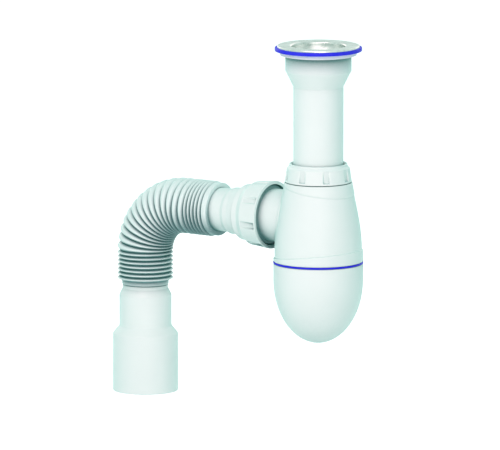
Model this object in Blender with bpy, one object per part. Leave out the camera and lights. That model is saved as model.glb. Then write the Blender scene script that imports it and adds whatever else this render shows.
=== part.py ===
"""Bottle sink trap: strainer waste, tailpiece, egg-shaped bottle, side outlet and bellows hose.

Metres, +Z up. The origin is on the tailpiece axis, in the plane where the rim gasket seats on the
basin floor. The outlet arm runs along -X. Turned pieces are outlines of (radius, height) points.
"""

import math

import bmesh
import bpy
from mathutils import Matrix, Vector

# Fits and facets
CLEAR = 0.0003
SLIDE_FIT = 0.0005
STEPS = 28
NUT_STEPS = 32
HOSE_STEPS = 20
SMALL_STEPS = 20
HOLE_STEPS = 16
ARC_POINTS = 4
SLANT_PASSES = 4
MERGE = 1e-6
SHARP_ANGLE = math.radians(38)
FILLET_LIMIT = 0.45

# Strainer, screw and the two gaskets of the basin hole
RIM_GASKET_R = 0.0331
RIM_GASKET_HEIGHT = 0.0026
RIM_GASKET_SHOWN = 0.0018
GASKET_HOLE_R = 0.0222
GASKET_FILLET = 0.0005
BASIN_GASKET_SHARE = 0.64
BASIN_GASKET_THICK = 0.0032
SHEET = 0.0007
FLANGE_DOME = 0.0006
FLANGE_EDGE_SHARE = 0.2
BOWL_LIP_SHARE = 0.3
BOWL_R = 0.0205
BOWL_FLOOR_R = 0.0145
BOWL_DEPTH = 0.0127
BOWL_LIP_DROP = 0.0004
DRAIN_HOLE_R = 0.0022
DRAIN_HOLE_STEPS = 10
DRAIN_HOLES = 9
SCREW_R = 0.0029
SCREW_CHAMFER = 0.0009
SCREW_HEAD_R = 0.0055
SCREW_HEAD_HEIGHT = 0.0026
SCREW_HEAD_DOME = 0.0015
SCREW_SLOT = 0.0014
CLAMP_NUT_ACROSS = 0.0100
CLAMP_NUT_HEIGHT = 0.0050

# Tailpiece
WALL = 0.0022
CUP_R = 0.0251
CUP_HEIGHT = 0.0119
CONE_HEIGHT = 0.0120
PIPE_R = 0.01905
PIPE_SHOWN = 0.05875
WATER_SEAL = 0.0500
BOSS_R = 0.0076
BOSS_HEIGHT = 0.0130
BOSS_GAP = 0.0012
RIB_COUNT = 4
RIB_THICK = 0.0020
RIB_HEIGHT = 0.0080
RIB_OVERLAP = 0.0030

# Union nuts, their threads, seals and slip rings
NECK_WALL = 0.0029
SPIGOT_THREAD = 0.0029
THREAD_START = 0.0030
NUT_TOP_WALL = 0.0010
NUT_MOUTH_WALL = 0.0025
NECK_NUT_GRIP = 0.0104
NECK_NUT_LIP = 0.0015
OUTLET_NUT_GRIP = 0.0151
NUT_CHAMFER = 0.0019
NUT_COUNTERSINK = 0.0012
NUT_NECK_TAPER = 0.0050
NUT_NECK = 0.0044
NUT_NECK_WALL = 0.0018
NUT_GROOVES = 8
NUT_GROOVE_WIDTH = 0.0050
NUT_GROOVE_WALL = 0.0008
NUT_GROOVE_STOP = 0.0015
NUT_GROOVE_REACH = 0.0141
NECK_NUT_TURN = math.radians(4)
OUTLET_NUT_TURN = math.radians(31.5)
SLIP_RING = 0.0012
SEAL_HEAD = 0.0024
SEAL_NOSE = 0.0026
FLARE_DEPTH = 0.0040
FLARE_RIM = 0.0009

# Bottle
BOTTLE_R = 0.0332
BAND_PROUD = 0.0009
COLLAR_PROUD = 0.0004
BAND_SLANT = 0.115
COLLAR_SLANT = 0.154
BAND_DROP = 0.0548
COLLAR_DROP = 0.0064
NECK_GAP = 0.0006
SHELL_HEIGHT = 0.0603
SHELL_SWELL = 1.25
SHELL_WIDEST = 0.0519
SHELL_ROWS = 5
OUTLET_DROP = 0.02945
SKIRT_HEIGHT = 0.0107
SKIRT_WALL = 0.0020
SKIRT_INSET = 0.0032
CUP_GASKET_THICK = 0.0013
CUP_STRAIGHT = 0.0127
CUP_EGG = 0.0484
CUP_EGG_POWER = 2.0
CUP_EGG_ROWS = 9

# Side outlet and adapter
SPIGOT_R = 0.0200
SPIGOT_REACH = 0.0520
ADAPTER_INSERT = 0.0080
ADAPTER_R = 0.0190
ADAPTER_MID_R = 0.0179
ADAPTER_PIPE_R = 0.0166
ADAPTER_WALL = 0.0020
ADAPTER_SHOULDER = 0.0130
ADAPTER_TAPER = 0.0050
ADAPTER_MID = 0.0035
ADAPTER_STEP = 0.0030
ADAPTER_PIPE_SHOWN = 0.0105
HOSE_NOSE_R = 0.0160
HOSE_NOSE = 0.0110

# Bellows hose
CUFF_R = 0.0203
CUFF_LENGTH = 0.0050
PLEAT_CREST_R = 0.0212
PLEAT_ROOT_R = 0.0178
HOSE_WALL = 0.0010
CLOSED_PITCH = 0.00325
OPEN_PITCH = 0.0055
CREST_SHARE = 0.34
TOP_CLOSED_PLEATS = 5
TOP_OPEN_PLEATS = 2
BEND_PLEATS = 12
LOW_CLOSED_PLEATS = 7
BEND_R = 0.0375
COLLAR_LENGTH = 0.0034

# End coupling, 40 mm spigot over a 50 mm one
COUPLING_NECK_R = 0.0173
COUPLING_NECK = 0.0026
COUPLING_CONE = 0.0053
COUPLING_SMALL_R = 0.0200
COUPLING_SMALL = 0.0238
COUPLING_SHOULDER = 0.0061
COUPLING_LARGE_R = 0.0250
COUPLING_LARGE = 0.0444
COUPLING_WALL = 0.0020
COUPLING_FILLET = 0.0015

# Radii that follow from the rim gasket
BASIN_GASKET_R = GASKET_HOLE_R + BASIN_GASKET_SHARE * (RIM_GASKET_R - GASKET_HOLE_R)
FLANGE_R = RIM_GASKET_R - RIM_GASKET_SHOWN
FLANGE_WIDTH = FLANGE_R - BOWL_R

# Heights on the tailpiece axis, top down
CROWN_Z = RIM_GASKET_HEIGHT + CLEAR + SHEET + FLANGE_DOME
BOWL_FLOOR_Z = CROWN_Z - BOWL_DEPTH
CUP_TOP_Z = -BASIN_GASKET_THICK - CLEAR
CONE_TOP_Z = CUP_TOP_Z - CUP_HEIGHT
CONE_END_Z = CONE_TOP_Z - CONE_HEIGHT
BOSS_TOP_Z = BOWL_FLOOR_Z - SHEET - BOSS_GAP
BOSS_END_Z = BOSS_TOP_Z - BOSS_HEIGHT
POCKET_Z = BOSS_END_Z + CLAMP_NUT_HEIGHT + 2 * CLEAR
NUT_TOP_Z = CONE_END_Z - PIPE_SHOWN
NUT_SEAT_Z = NUT_TOP_Z - NECK_NUT_LIP - NUT_CHAMFER
NUT_MOUTH_Z = NUT_SEAT_Z - NECK_NUT_GRIP
NECK_TOP_Z = NUT_SEAT_Z - SLIP_RING - SEAL_HEAD - 3 * CLEAR
SHELL_TOP_Z = NUT_MOUTH_Z - NECK_GAP
SHELL_END_Z = SHELL_TOP_Z - SHELL_HEIGHT
SKIRT_END_Z = SHELL_END_Z - SKIRT_HEIGHT
OUTLET_Z = NUT_MOUTH_Z - OUTLET_DROP
CUP_RIM_Z = SHELL_END_Z - CUP_GASKET_THICK - 2 * CLEAR
EGG_Z = CUP_RIM_Z - CUP_STRAIGHT

# Radii that follow from the pipe and the spigot
NECK_BORE = PIPE_R + SLIDE_FIT
NECK_THREAD_R = NECK_BORE + NECK_WALL
SPIGOT_BORE = SPIGOT_R - WALL
SPIGOT_THREAD_R = SPIGOT_R + SPIGOT_THREAD
SHELL_TOP_R = NECK_THREAD_R + SLIDE_FIT + NUT_MOUTH_WALL + CLEAR
SKIRT_R = BOTTLE_R - SKIRT_INSET
INSERT_R = SPIGOT_BORE - SLIDE_FIT
DIP_END_Z = OUTLET_Z - SPIGOT_BORE - WATER_SEAL

# Distances along the outlet axis, from the bottle axis
SEAL_BACK = SPIGOT_REACH + CLEAR + SEAL_HEAD
ADAPTER_BACK = SEAL_BACK + CLEAR
OUTLET_NUT_SEAT = ADAPTER_BACK + SLIP_RING + CLEAR
OUTLET_NUT_MOUTH = OUTLET_NUT_SEAT - OUTLET_NUT_GRIP
TAPER_START = ADAPTER_BACK + ADAPTER_SHOULDER
MID_START = TAPER_START + ADAPTER_TAPER
STEP_START = MID_START + ADAPTER_MID
PIPE_START = STEP_START + ADAPTER_STEP
HOSE_START = PIPE_START + ADAPTER_PIPE_SHOWN
ADAPTER_PIPE_END = HOSE_START + CUFF_LENGTH - 2 * CLEAR
ADAPTER_END = ADAPTER_PIPE_END + HOSE_NOSE

# Lengths along the hose's centre line, from its mouth
STRAIGHT_END = CUFF_LENGTH + TOP_CLOSED_PLEATS * CLOSED_PITCH + TOP_OPEN_PLEATS * OPEN_PITCH
BEND_END = STRAIGHT_END + BEND_R * math.pi / 2
PLEATS_END = BEND_END + LOW_CLOSED_PLEATS * CLOSED_PITCH
HOSE_END = PLEATS_END + COLLAR_LENGTH
BEND_X = -HOSE_START - STRAIGHT_END
BEND_Z = OUTLET_Z - BEND_R
COUPLING_X = BEND_X - BEND_R
COUPLING_TOP_Z = BEND_Z - (HOSE_END - BEND_END) - CLEAR

WHITE = (0.86, 0.95, 0.92)
BLUE = (0.03, 0.04, 0.80)


def clear_scene():
    for obj in list(bpy.data.objects):
        bpy.data.objects.remove(obj)


def material(name, colour, roughness, metallic=0.0):
    """A Principled material, made once and then shared by name."""
    found = bpy.data.materials.get(name)
    if found:
        return found
    made = bpy.data.materials.new(name)
    made.use_nodes = True
    shader = made.node_tree.nodes["Principled BSDF"]
    shader.inputs["Base Color"].default_value = (*colour, 1)
    shader.inputs["Roughness"].default_value = roughness
    shader.inputs["Metallic"].default_value = metallic
    made.diffuse_color = (*colour, 1)
    return made


def plastic():
    return material("white_plastic", WHITE, 0.30)


def finish(bm, name, paint):
    """Closes the mesh into an object with its faces out, smooth where it is round."""
    bmesh.ops.remove_doubles(bm, verts=bm.verts, dist=MERGE)
    bmesh.ops.dissolve_degenerate(bm, edges=bm.edges, dist=MERGE)
    bmesh.ops.recalc_face_normals(bm, faces=bm.faces)
    mesh = bpy.data.meshes.new(name)
    bm.to_mesh(mesh)
    bm.free()
    mesh.shade_smooth()
    mesh.set_sharp_from_angle(angle=SHARP_ANGLE)
    mesh.materials.append(paint)
    obj = bpy.data.objects.new(name, mesh)
    bpy.context.collection.objects.link(obj)
    return obj


def turned(name, outline, paint, steps=STEPS):
    """Spins an outline of (radius, height) points about Z. One that starts on the axis also ends there."""
    bm = bmesh.new()
    points = [bm.verts.new((radius, 0, height)) for radius, height in outline]
    pairs = list(zip(points, points[1:]))
    if outline[0][0] > 0:
        pairs.append((points[-1], points[0]))
    for pair in pairs:
        bm.edges.new(pair)
    bmesh.ops.spin(
        bm,
        geom=bm.verts[:] + bm.edges[:],
        cent=(0, 0, 0),
        axis=(0, 0, 1),
        angle=2 * math.pi,
        steps=steps,
        use_merge=True,
    )
    return finish(bm, name, paint)


def ring_body(name, rings, paint, closed):
    """Skins rings of points in turn. A closed body joins its last ring to its first, another is capped."""
    bm = bmesh.new()
    rows = [[bm.verts.new(point) for point in ring] for ring in rings]
    pairs = list(zip(rows, rows[1:]))
    if closed:
        pairs.append((rows[-1], rows[0]))
    for row, following in pairs:
        for index in range(len(row)):
            bm.faces.new((row[index - 1], row[index], following[index], following[index - 1]))
    if not closed:
        bm.faces.new(rows[0])
        bm.faces.new(rows[-1])
    return finish(bm, name, paint)


def filleted(corners, steps=1):
    """Rounds each (radius, height, fillet) corner of a closed outline, as far as its two sides allow."""
    outline = []
    for index, (radius, height, fillet) in enumerate(corners):
        here = Vector((radius, height))
        before = Vector(corners[index - 1][:2]) - here
        after = Vector(corners[(index + 1) % len(corners)][:2]) - here
        if not fillet:
            outline.append(tuple(here))
            continue
        reach = fillet / math.tan(before.angle(after) / 2)
        reach = min(reach, FILLET_LIMIT * before.length, FILLET_LIMIT * after.length)
        start = here + before.normalized() * reach
        end = here + after.normalized() * reach
        for step in range(steps + 1):
            t = step / steps
            point = start * (1 - t) ** 2 + here * 2 * t * (1 - t) + end * t ** 2
            outline.append(tuple(point))
    return outline


def thickened(path, thickness):
    """Closes an open path into an outline, with a second side to its left."""
    other = []
    for index, here in enumerate(path):
        before = Vector(path[max(index - 1, 0)])
        after = Vector(path[min(index + 1, len(path) - 1)])
        run = (after - before).normalized()
        other.append((here[0] - run.y * thickness, here[1] + run.x * thickness))
    return list(path) + other[::-1]


def boolean(obj, operation, other):
    """Adds or cuts another object, which is then a hidden helper."""
    other.hide_render = True
    other.display_type = "WIRE"
    modifier = obj.modifiers.new(other.name, "BOOLEAN")
    modifier.operation = operation
    modifier.object = other


def rod(name, radius, low, high, steps=STEPS):
    """A plain helper cylinder about Z."""
    return turned(name, [(0, low), (radius, low), (radius, high), (0, high)], plastic(), steps)


def blocks(name, count, size, centre_r, centre_z, first=0):
    """Helper blocks of (radial, across, height) size, spaced round Z in one mesh from a first angle on."""
    bm = bmesh.new()
    for index in range(count):
        turn = Matrix.Rotation(first + 2 * math.pi * index / count, 4, "Z")
        place = turn @ Matrix.Translation((centre_r, 0, centre_z)) @ Matrix.Diagonal((*size, 1))
        bmesh.ops.create_cube(bm, size=1, matrix=place)
    return finish(bm, name, plastic())


def lay_on_outlet(obj):
    """Turns a piece made about +Z onto the outlet axis, so that its height runs along -X."""
    obj.location = (0, 0, OUTLET_Z)
    obj.rotation_euler = (0, -math.pi / 2, 0)


# Waste: strainer, screw, gaskets and clamp nut


def strainer_cup():
    dome = FLANGE_DOME
    path = [
        (FLANGE_R, CROWN_Z - dome),
        (FLANGE_R - FLANGE_EDGE_SHARE * FLANGE_WIDTH, CROWN_Z),
        (BOWL_R + BOWL_LIP_SHARE * FLANGE_WIDTH, CROWN_Z),
        (BOWL_R + dome, CROWN_Z - BOWL_LIP_DROP),
    ]
    wall_depth = BOWL_DEPTH - 2 * dome
    for step in range(ARC_POINTS):
        angle = step / (ARC_POINTS - 1) * math.pi / 2
        radius = BOWL_FLOOR_R + (BOWL_R - BOWL_FLOOR_R) * math.cos(angle)
        path.append((radius, CROWN_Z - 2 * dome - wall_depth * math.sin(angle)))
    path.append((SCREW_R + CLEAR, BOWL_FLOOR_Z))
    steel = material("steel", (0.62, 0.66, 0.64), 0.22, 1.0)
    cup = turned("strainer_cup", thickened(path, SHEET), steel)
    hole_ring_r = (BOWL_FLOOR_R + SCREW_HEAD_R) / 2 + SHEET
    holes = bmesh.new()
    for index in range(DRAIN_HOLES):
        angle = 2 * math.pi * index / DRAIN_HOLES
        place = Vector((hole_ring_r * math.cos(angle), hole_ring_r * math.sin(angle), BOWL_FLOOR_Z))
        bmesh.ops.create_cone(
            holes,
            cap_ends=True,
            segments=DRAIN_HOLE_STEPS,
            radius1=DRAIN_HOLE_R,
            radius2=DRAIN_HOLE_R,
            depth=2 * WALL,
            matrix=Matrix.Translation(place),
        )
    boolean(cup, "DIFFERENCE", finish(holes, "drain_holes", plastic()))


def strainer_screw():
    seat = BOWL_FLOOR_Z + CLEAR
    crown = seat + SCREW_HEAD_HEIGHT
    tip = BOSS_END_Z - SCREW_R
    outline = [
        (0, tip),
        (SCREW_R - SCREW_CHAMFER, tip),
        (SCREW_R, tip + SCREW_CHAMFER),
        (SCREW_R, seat),
        (SCREW_HEAD_R, seat),
    ]
    for step in range(ARC_POINTS):
        angle = step / (ARC_POINTS - 1) * math.pi / 2
        radius = SCREW_HEAD_R * math.cos(angle) if step < ARC_POINTS - 1 else 0
        outline.append((radius, crown - SCREW_HEAD_DOME * (1 - math.sin(angle))))
    steel = material("screw_steel", (0.60, 0.62, 0.62), 0.30, 1.0)
    screw = turned("strainer_screw", outline, steel, SMALL_STEPS)
    slot = blocks("screw_slot", 1, (3 * SCREW_HEAD_R, SCREW_SLOT, SCREW_HEAD_HEIGHT), 0, crown)
    boolean(screw, "DIFFERENCE", slot)


def rim_gasket():
    under = BASIN_GASKET_R + CLEAR
    corners = [
        (GASKET_HOLE_R, CLEAR, 0),
        (under, CLEAR, 0),
        (under + CLEAR, 0, 0),
        (RIM_GASKET_R, 0, GASKET_FILLET),
        (RIM_GASKET_R, RIM_GASKET_HEIGHT, GASKET_FILLET),
        (GASKET_HOLE_R, RIM_GASKET_HEIGHT, 0),
    ]
    turned("rim_gasket", filleted(corners), material("blue_rubber", BLUE, 0.40))


def basin_gasket():
    corners = [
        (GASKET_HOLE_R, -BASIN_GASKET_THICK, 0),
        (BASIN_GASKET_R, -BASIN_GASKET_THICK, GASKET_FILLET),
        (BASIN_GASKET_R, 0, GASKET_FILLET),
        (GASKET_HOLE_R, 0, 0),
    ]
    turned("basin_gasket", filleted(corners), material("white_rubber", (0.90, 0.96, 0.94), 0.45))


def clamp_nut():
    hexagon_r = CLAMP_NUT_ACROSS / 2 / math.cos(math.pi / 6)
    high = POCKET_Z - CLEAR
    low = high - CLAMP_NUT_HEIGHT
    outline = [(0, low), (hexagon_r, low), (hexagon_r, high), (0, high)]
    nut = turned("clamp_nut", outline, material("brass", (0.72, 0.53, 0.22), 0.35, 1.0), 6)
    bore = rod("clamp_nut_bore", SCREW_R + CLEAR, low - WALL, high + WALL, HOLE_STEPS)
    boolean(nut, "DIFFERENCE", bore)


# Tailpiece, one moulding from the cup to the dip tube's end


def spider():
    """The boss and its ribs, which stay when the tailpiece is hollowed."""
    boss = rod("boss", BOSS_R, BOSS_END_Z, BOSS_TOP_Z, SMALL_STEPS)
    rib_root = BOSS_R - RIB_OVERLAP
    rib_z = BOSS_TOP_Z - RIB_HEIGHT / 2 - CLEAR
    size = (CUP_R - rib_root, RIB_THICK, RIB_HEIGHT)
    ribs = blocks("ribs", RIB_COUNT, size, (CUP_R + rib_root) / 2, rib_z)
    boolean(boss, "UNION", ribs)
    return boss


def tailpiece():
    outer = [
        (0, DIP_END_Z),
        (PIPE_R, DIP_END_Z),
        (PIPE_R, CONE_END_Z),
        (CUP_R, CONE_TOP_Z),
        (CUP_R, CUP_TOP_Z),
        (0, CUP_TOP_Z),
    ]
    hollow = [
        (0, DIP_END_Z - WALL),
        (PIPE_R - WALL, DIP_END_Z - WALL),
        (PIPE_R - WALL, CONE_END_Z),
        (CUP_R - WALL, CONE_TOP_Z),
        (CUP_R - WALL, CUP_TOP_Z + WALL),
        (0, CUP_TOP_Z + WALL),
    ]
    piece = turned("tailpiece", outer, plastic())
    bore = turned("tailpiece_bore", hollow, plastic())
    boolean(bore, "DIFFERENCE", spider())
    boolean(piece, "DIFFERENCE", bore)
    low = BOSS_END_Z - WALL
    screw_way = rod("screw_way", SCREW_R + CLEAR, low, BOSS_TOP_Z + WALL, HOLE_STEPS)
    boolean(piece, "DIFFERENCE", screw_way)
    pocket_r = (CLAMP_NUT_ACROSS / 2 + CLEAR) / math.cos(math.pi / 6)
    boolean(piece, "DIFFERENCE", rod("nut_pocket", pocket_r, low - WALL, POCKET_Z, 6))


# Union nuts with what they press on, made about +Z with the mouth at the low end


def union_nut(name, thread_r, tube_r, mouth, grip, neck, turn):
    """A tapered nut with grip grooves, closed by a lip or a tapered neck over its slip ring."""
    bore = thread_r + SLIDE_FIT
    lip_bore = tube_r + SLIDE_FIT
    shoulder = mouth + grip
    corners = [
        (bore, mouth, 0),
        (bore + NUT_MOUTH_WALL, mouth, CLEAR),
        (bore + NUT_TOP_WALL, shoulder, 2 * CLEAR),
    ]
    if neck:
        top = shoulder + NUT_NECK_TAPER + neck
        neck_r = lip_bore + NUT_NECK_WALL
        corners.append((neck_r, shoulder + NUT_NECK_TAPER, 0))
        corners.append((neck_r, top, CLEAR))
        corners.append((lip_bore, top, 0))
    else:
        top = shoulder + NUT_CHAMFER + NECK_NUT_LIP
        lip_r = bore + NUT_TOP_WALL - NUT_CHAMFER
        corners.append((lip_r, shoulder + NUT_CHAMFER, 0))
        corners.append((lip_r, top, CLEAR))
        corners.append((lip_bore + NUT_COUNTERSINK, top, 0))
        corners.append((lip_bore, top - NUT_COUNTERSINK, 0))
    corners += [(lip_bore, shoulder, 0), (bore, shoulder, 0)]
    nut = turned(name, filleted(corners), material("nut_plastic", WHITE, 0.28), NUT_STEPS)
    groove_floor = bore + NUT_GROOVE_WALL
    groove_low = mouth + NUT_GROOVE_STOP
    groove_high = mouth + NUT_GROOVE_REACH
    size = (2 * NUT_MOUTH_WALL, NUT_GROOVE_WIDTH, groove_high - groove_low)
    centre = (groove_floor + NUT_MOUTH_WALL, (groove_low + groove_high) / 2)
    boolean(nut, "DIFFERENCE", blocks(name + "_grooves", NUT_GROOVES, size, *centre, turn))
    return nut


def slip_ring(name, thread_r, tube_r, low):
    outline = [
        (tube_r + SLIDE_FIT, low),
        (thread_r, low),
        (thread_r, low + SLIP_RING),
        (tube_r + SLIDE_FIT, low + SLIP_RING),
    ]
    return turned(name, outline, material("slip_plastic", (0.80, 0.84, 0.84), 0.40))


def flare_radius(bore, thread_r, depth):
    """The radius of a flared mouth at some depth below its rim."""
    mouth_r = thread_r - FLARE_RIM
    return mouth_r - (mouth_r - bore) * depth / FLARE_DEPTH


def cone_seal(name, thread_r, bore, tube_r, rim):
    """A wedge seal: a head on the rim of the flared mouth, and a nose inside it."""
    inner = tube_r + CLEAR
    outline = [
        (inner, rim - SEAL_NOSE),
        (flare_radius(bore, thread_r, SEAL_NOSE) - CLEAR, rim - SEAL_NOSE),
        (flare_radius(bore, thread_r, 0) - CLEAR, rim),
        (flare_radius(bore, thread_r, 0) - CLEAR, rim + CLEAR),
        (thread_r - CLEAR, rim + CLEAR),
        (thread_r - CLEAR, rim + CLEAR + SEAL_HEAD),
        (inner, rim + CLEAR + SEAL_HEAD),
    ]
    return turned(name, outline, material("seal_rubber", (0.70, 0.75, 0.76), 0.55))


def neck_fittings():
    union_nut("neck_nut", NECK_THREAD_R, PIPE_R, NUT_MOUTH_Z, NECK_NUT_GRIP, 0, NECK_NUT_TURN)
    slip_ring("neck_slip_ring", NECK_THREAD_R, PIPE_R, NUT_SEAT_Z - CLEAR - SLIP_RING)
    cone_seal("neck_seal", NECK_THREAD_R, NECK_BORE, PIPE_R, NECK_TOP_Z)


def outlet_fittings():
    bores = (SPIGOT_THREAD_R, ADAPTER_R)
    mouth = OUTLET_NUT_MOUTH
    nut = union_nut("outlet_nut", *bores, mouth, OUTLET_NUT_GRIP, NUT_NECK, OUTLET_NUT_TURN)
    lay_on_outlet(nut)
    lay_on_outlet(slip_ring("outlet_slip_ring", SPIGOT_THREAD_R, ADAPTER_R, ADAPTER_BACK))
    lay_on_outlet(cone_seal("outlet_seal", SPIGOT_THREAD_R, SPIGOT_BORE, INSERT_R, SPIGOT_REACH))


# Bottle


def shell_radius(height):
    """The egg's outer radius on the upper shell, from its shoulder down to the band."""
    share = min(max((SHELL_TOP_Z - height) / SHELL_WIDEST, 0), 1)
    swell = math.sin(share * math.pi / 2) ** SHELL_SWELL
    return SHELL_TOP_R + (BOTTLE_R - SHELL_TOP_R) * swell


def slanted_ring(height, slant, proud):
    """A ring of the shell in a plane that falls towards +X by its slant, closed in on in a few passes."""
    ring = []
    for index in range(STEPS):
        angle = 2 * math.pi * index / STEPS
        at = height
        for _ in range(SLANT_PASSES):
            radius = shell_radius(at) + proud
            at = height - slant * radius * math.cos(angle)
        ring.append((radius * math.cos(angle), radius * math.sin(angle), at))
    return ring


def flat_ring(radius, height):
    turns = [2 * math.pi * index / STEPS for index in range(STEPS)]
    return [(radius * math.cos(turn), radius * math.sin(turn), height) for turn in turns]


def bottle_body():
    collar_z = SHELL_TOP_Z - COLLAR_DROP
    band_z = SHELL_TOP_Z - BAND_DROP
    panel_top = collar_z - COLLAR_PROUD
    panel_end = band_z + BAND_PROUD
    rings = [
        flat_ring(NECK_THREAD_R, NECK_TOP_Z),
        flat_ring(NECK_THREAD_R, SHELL_TOP_Z),
        slanted_ring(SHELL_TOP_Z, 0, COLLAR_PROUD / 2),
        slanted_ring((SHELL_TOP_Z + collar_z) / 2, COLLAR_SLANT / 2, COLLAR_PROUD),
        slanted_ring(collar_z, COLLAR_SLANT, COLLAR_PROUD),
    ]
    for index in range(SHELL_ROWS + 1):
        share = index / SHELL_ROWS
        slant = COLLAR_SLANT - (BAND_SLANT + COLLAR_SLANT) * share
        rings.append(slanted_ring(panel_top + (panel_end - panel_top) * share, slant, 0))
    rings += [
        slanted_ring(band_z, -BAND_SLANT, BAND_PROUD),
        slanted_ring(SHELL_END_Z, 0, BAND_PROUD),
        flat_ring(SKIRT_R, SHELL_END_Z),
        flat_ring(SKIRT_R, SKIRT_END_Z),
    ]
    body = ring_body("bottle_body", rings, plastic(), False)
    boolean(body, "UNION", outlet_spigot())
    boolean(body, "DIFFERENCE", bottle_hollow())
    boolean(body, "DIFFERENCE", outlet_bore())


def outlet_spigot():
    thread_start = OUTLET_NUT_MOUTH + THREAD_START
    root = SKIRT_R - SPIGOT_R
    outline = [
        (0, root),
        (SPIGOT_R, root),
        (SPIGOT_R, thread_start),
        (SPIGOT_THREAD_R, thread_start),
        (SPIGOT_THREAD_R, SPIGOT_REACH),
        (0, SPIGOT_REACH),
    ]
    spigot = turned("outlet_spigot", outline, plastic())
    lay_on_outlet(spigot)
    return spigot


def bottle_hollow():
    """The space inside the neck, the shell and the skirt."""
    skirt_bore = SKIRT_R - SKIRT_WALL
    flare_r = flare_radius(NECK_BORE, NECK_THREAD_R, 0)
    ease = WALL / FLARE_DEPTH * (flare_r - NECK_BORE)
    outline = [
        (0, NECK_TOP_Z + WALL),
        (flare_r + ease, NECK_TOP_Z + WALL),
        (NECK_BORE, NECK_TOP_Z - FLARE_DEPTH),
        (NECK_BORE, SHELL_TOP_Z - WALL),
    ]
    top = SHELL_TOP_Z - 2 * WALL
    end = SHELL_END_Z + 4 * WALL
    for index in range(SHELL_ROWS):
        height = top + (end - top) * index / (SHELL_ROWS - 1)
        outline.append((shell_radius(height) - WALL, height))
    outline += [
        (skirt_bore, SHELL_END_Z),
        (skirt_bore, SKIRT_END_Z - WALL),
        (0, SKIRT_END_Z - WALL),
    ]
    return turned("bottle_hollow", outline, plastic())


def outlet_bore():
    mouth_r = flare_radius(SPIGOT_BORE, SPIGOT_THREAD_R, 0)
    ease = WALL / FLARE_DEPTH * (mouth_r - SPIGOT_BORE)
    outline = [
        (0, 0),
        (SPIGOT_BORE, 0),
        (SPIGOT_BORE, SPIGOT_REACH - FLARE_DEPTH),
        (mouth_r + ease, SPIGOT_REACH + WALL),
        (0, SPIGOT_REACH + WALL),
    ]
    bore = turned("outlet_bore", outline, plastic())
    lay_on_outlet(bore)
    return bore


def cup_gasket():
    outer = BOTTLE_R + BAND_PROUD
    inner = SKIRT_R + SLIDE_FIT
    top = SHELL_END_Z - CLEAR
    outline = [
        (inner, top - CUP_GASKET_THICK),
        (outer, top - CUP_GASKET_THICK),
        (outer + CLEAR / 2, top - CUP_GASKET_THICK / 2),
        (outer, top),
        (inner, top),
    ]
    turned("cup_gasket", outline, material("blue_rubber", BLUE, 0.40))


def egg(radius, height, rows):
    """Points from the widest ring of the cup down to its pole."""
    points = []
    for index in range(rows + 1):
        angle = index / rows * math.pi / 2
        share_r = max(math.cos(angle), 0) ** (2 / CUP_EGG_POWER)
        share_z = math.sin(angle) ** (2 / CUP_EGG_POWER)
        points.append((radius * share_r if index < rows else 0, EGG_Z - height * share_z))
    return points


def bottle_cup():
    outer_r = BOTTLE_R + BAND_PROUD
    bore = SKIRT_R + SLIDE_FIT
    thread_end = SKIRT_END_Z - WALL
    outer = [(outer_r, CUP_RIM_Z)] + egg(outer_r, CUP_EGG, CUP_EGG_ROWS)
    inner = egg(outer_r - WALL, CUP_EGG - WALL, CUP_EGG_ROWS - 2)
    inner = [point for point in inner if point[1] < thread_end - WALL]
    inner = [(bore, CUP_RIM_Z), (bore, thread_end)] + inner
    turned("bottle_cup", outer[::-1] + inner, plastic())


# Adapter and hose


def outlet_adapter():
    insert_start = SPIGOT_REACH - ADAPTER_INSERT
    thin = ADAPTER_WALL
    outline = [
        (INSERT_R, insert_start),
        (INSERT_R, ADAPTER_BACK),
        (ADAPTER_R, ADAPTER_BACK),
        (ADAPTER_R, TAPER_START),
        (ADAPTER_MID_R, MID_START),
        (ADAPTER_MID_R, STEP_START),
        (ADAPTER_PIPE_R, PIPE_START),
        (ADAPTER_PIPE_R, ADAPTER_PIPE_END),
        (HOSE_NOSE_R, ADAPTER_PIPE_END),
        (HOSE_NOSE_R, ADAPTER_END),
        (HOSE_NOSE_R - thin, ADAPTER_END),
        (HOSE_NOSE_R - thin, ADAPTER_PIPE_END - thin),
        (ADAPTER_PIPE_R - thin, ADAPTER_PIPE_END - 2 * thin),
        (ADAPTER_PIPE_R - thin, PIPE_START),
        (ADAPTER_MID_R - thin, STEP_START),
        (ADAPTER_R - thin, TAPER_START),
        (ADAPTER_R - thin, ADAPTER_BACK + 2 * thin),
        (INSERT_R - thin, ADAPTER_BACK + thin),
        (INSERT_R - thin, insert_start),
    ]
    lay_on_outlet(turned("outlet_adapter", outline, plastic()))


def hose_ring(length, radius):
    """A ring of the hose, square to its centre line at some length from its mouth."""
    if length < STRAIGHT_END:
        centre = Vector((-HOSE_START - length, 0, OUTLET_Z))
        outward = Vector((0, 0, 1))
    elif length < BEND_END:
        angle = (length - STRAIGHT_END) / BEND_R
        outward = Vector((-math.sin(angle), 0, math.cos(angle)))
        centre = Vector((BEND_X, 0, BEND_Z)) + outward * BEND_R
    else:
        outward = Vector((-1, 0, 0))
        centre = Vector((COUPLING_X, 0, BEND_Z - (length - BEND_END)))
    side = Vector((0, 1, 0))
    turns = [2 * math.pi * index / HOSE_STEPS for index in range(HOSE_STEPS)]
    origin = Vector((BEND_X, 0, BEND_Z))
    return [centre - origin + (outward * math.cos(a) + side * math.sin(a)) * radius for a in turns]


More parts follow.
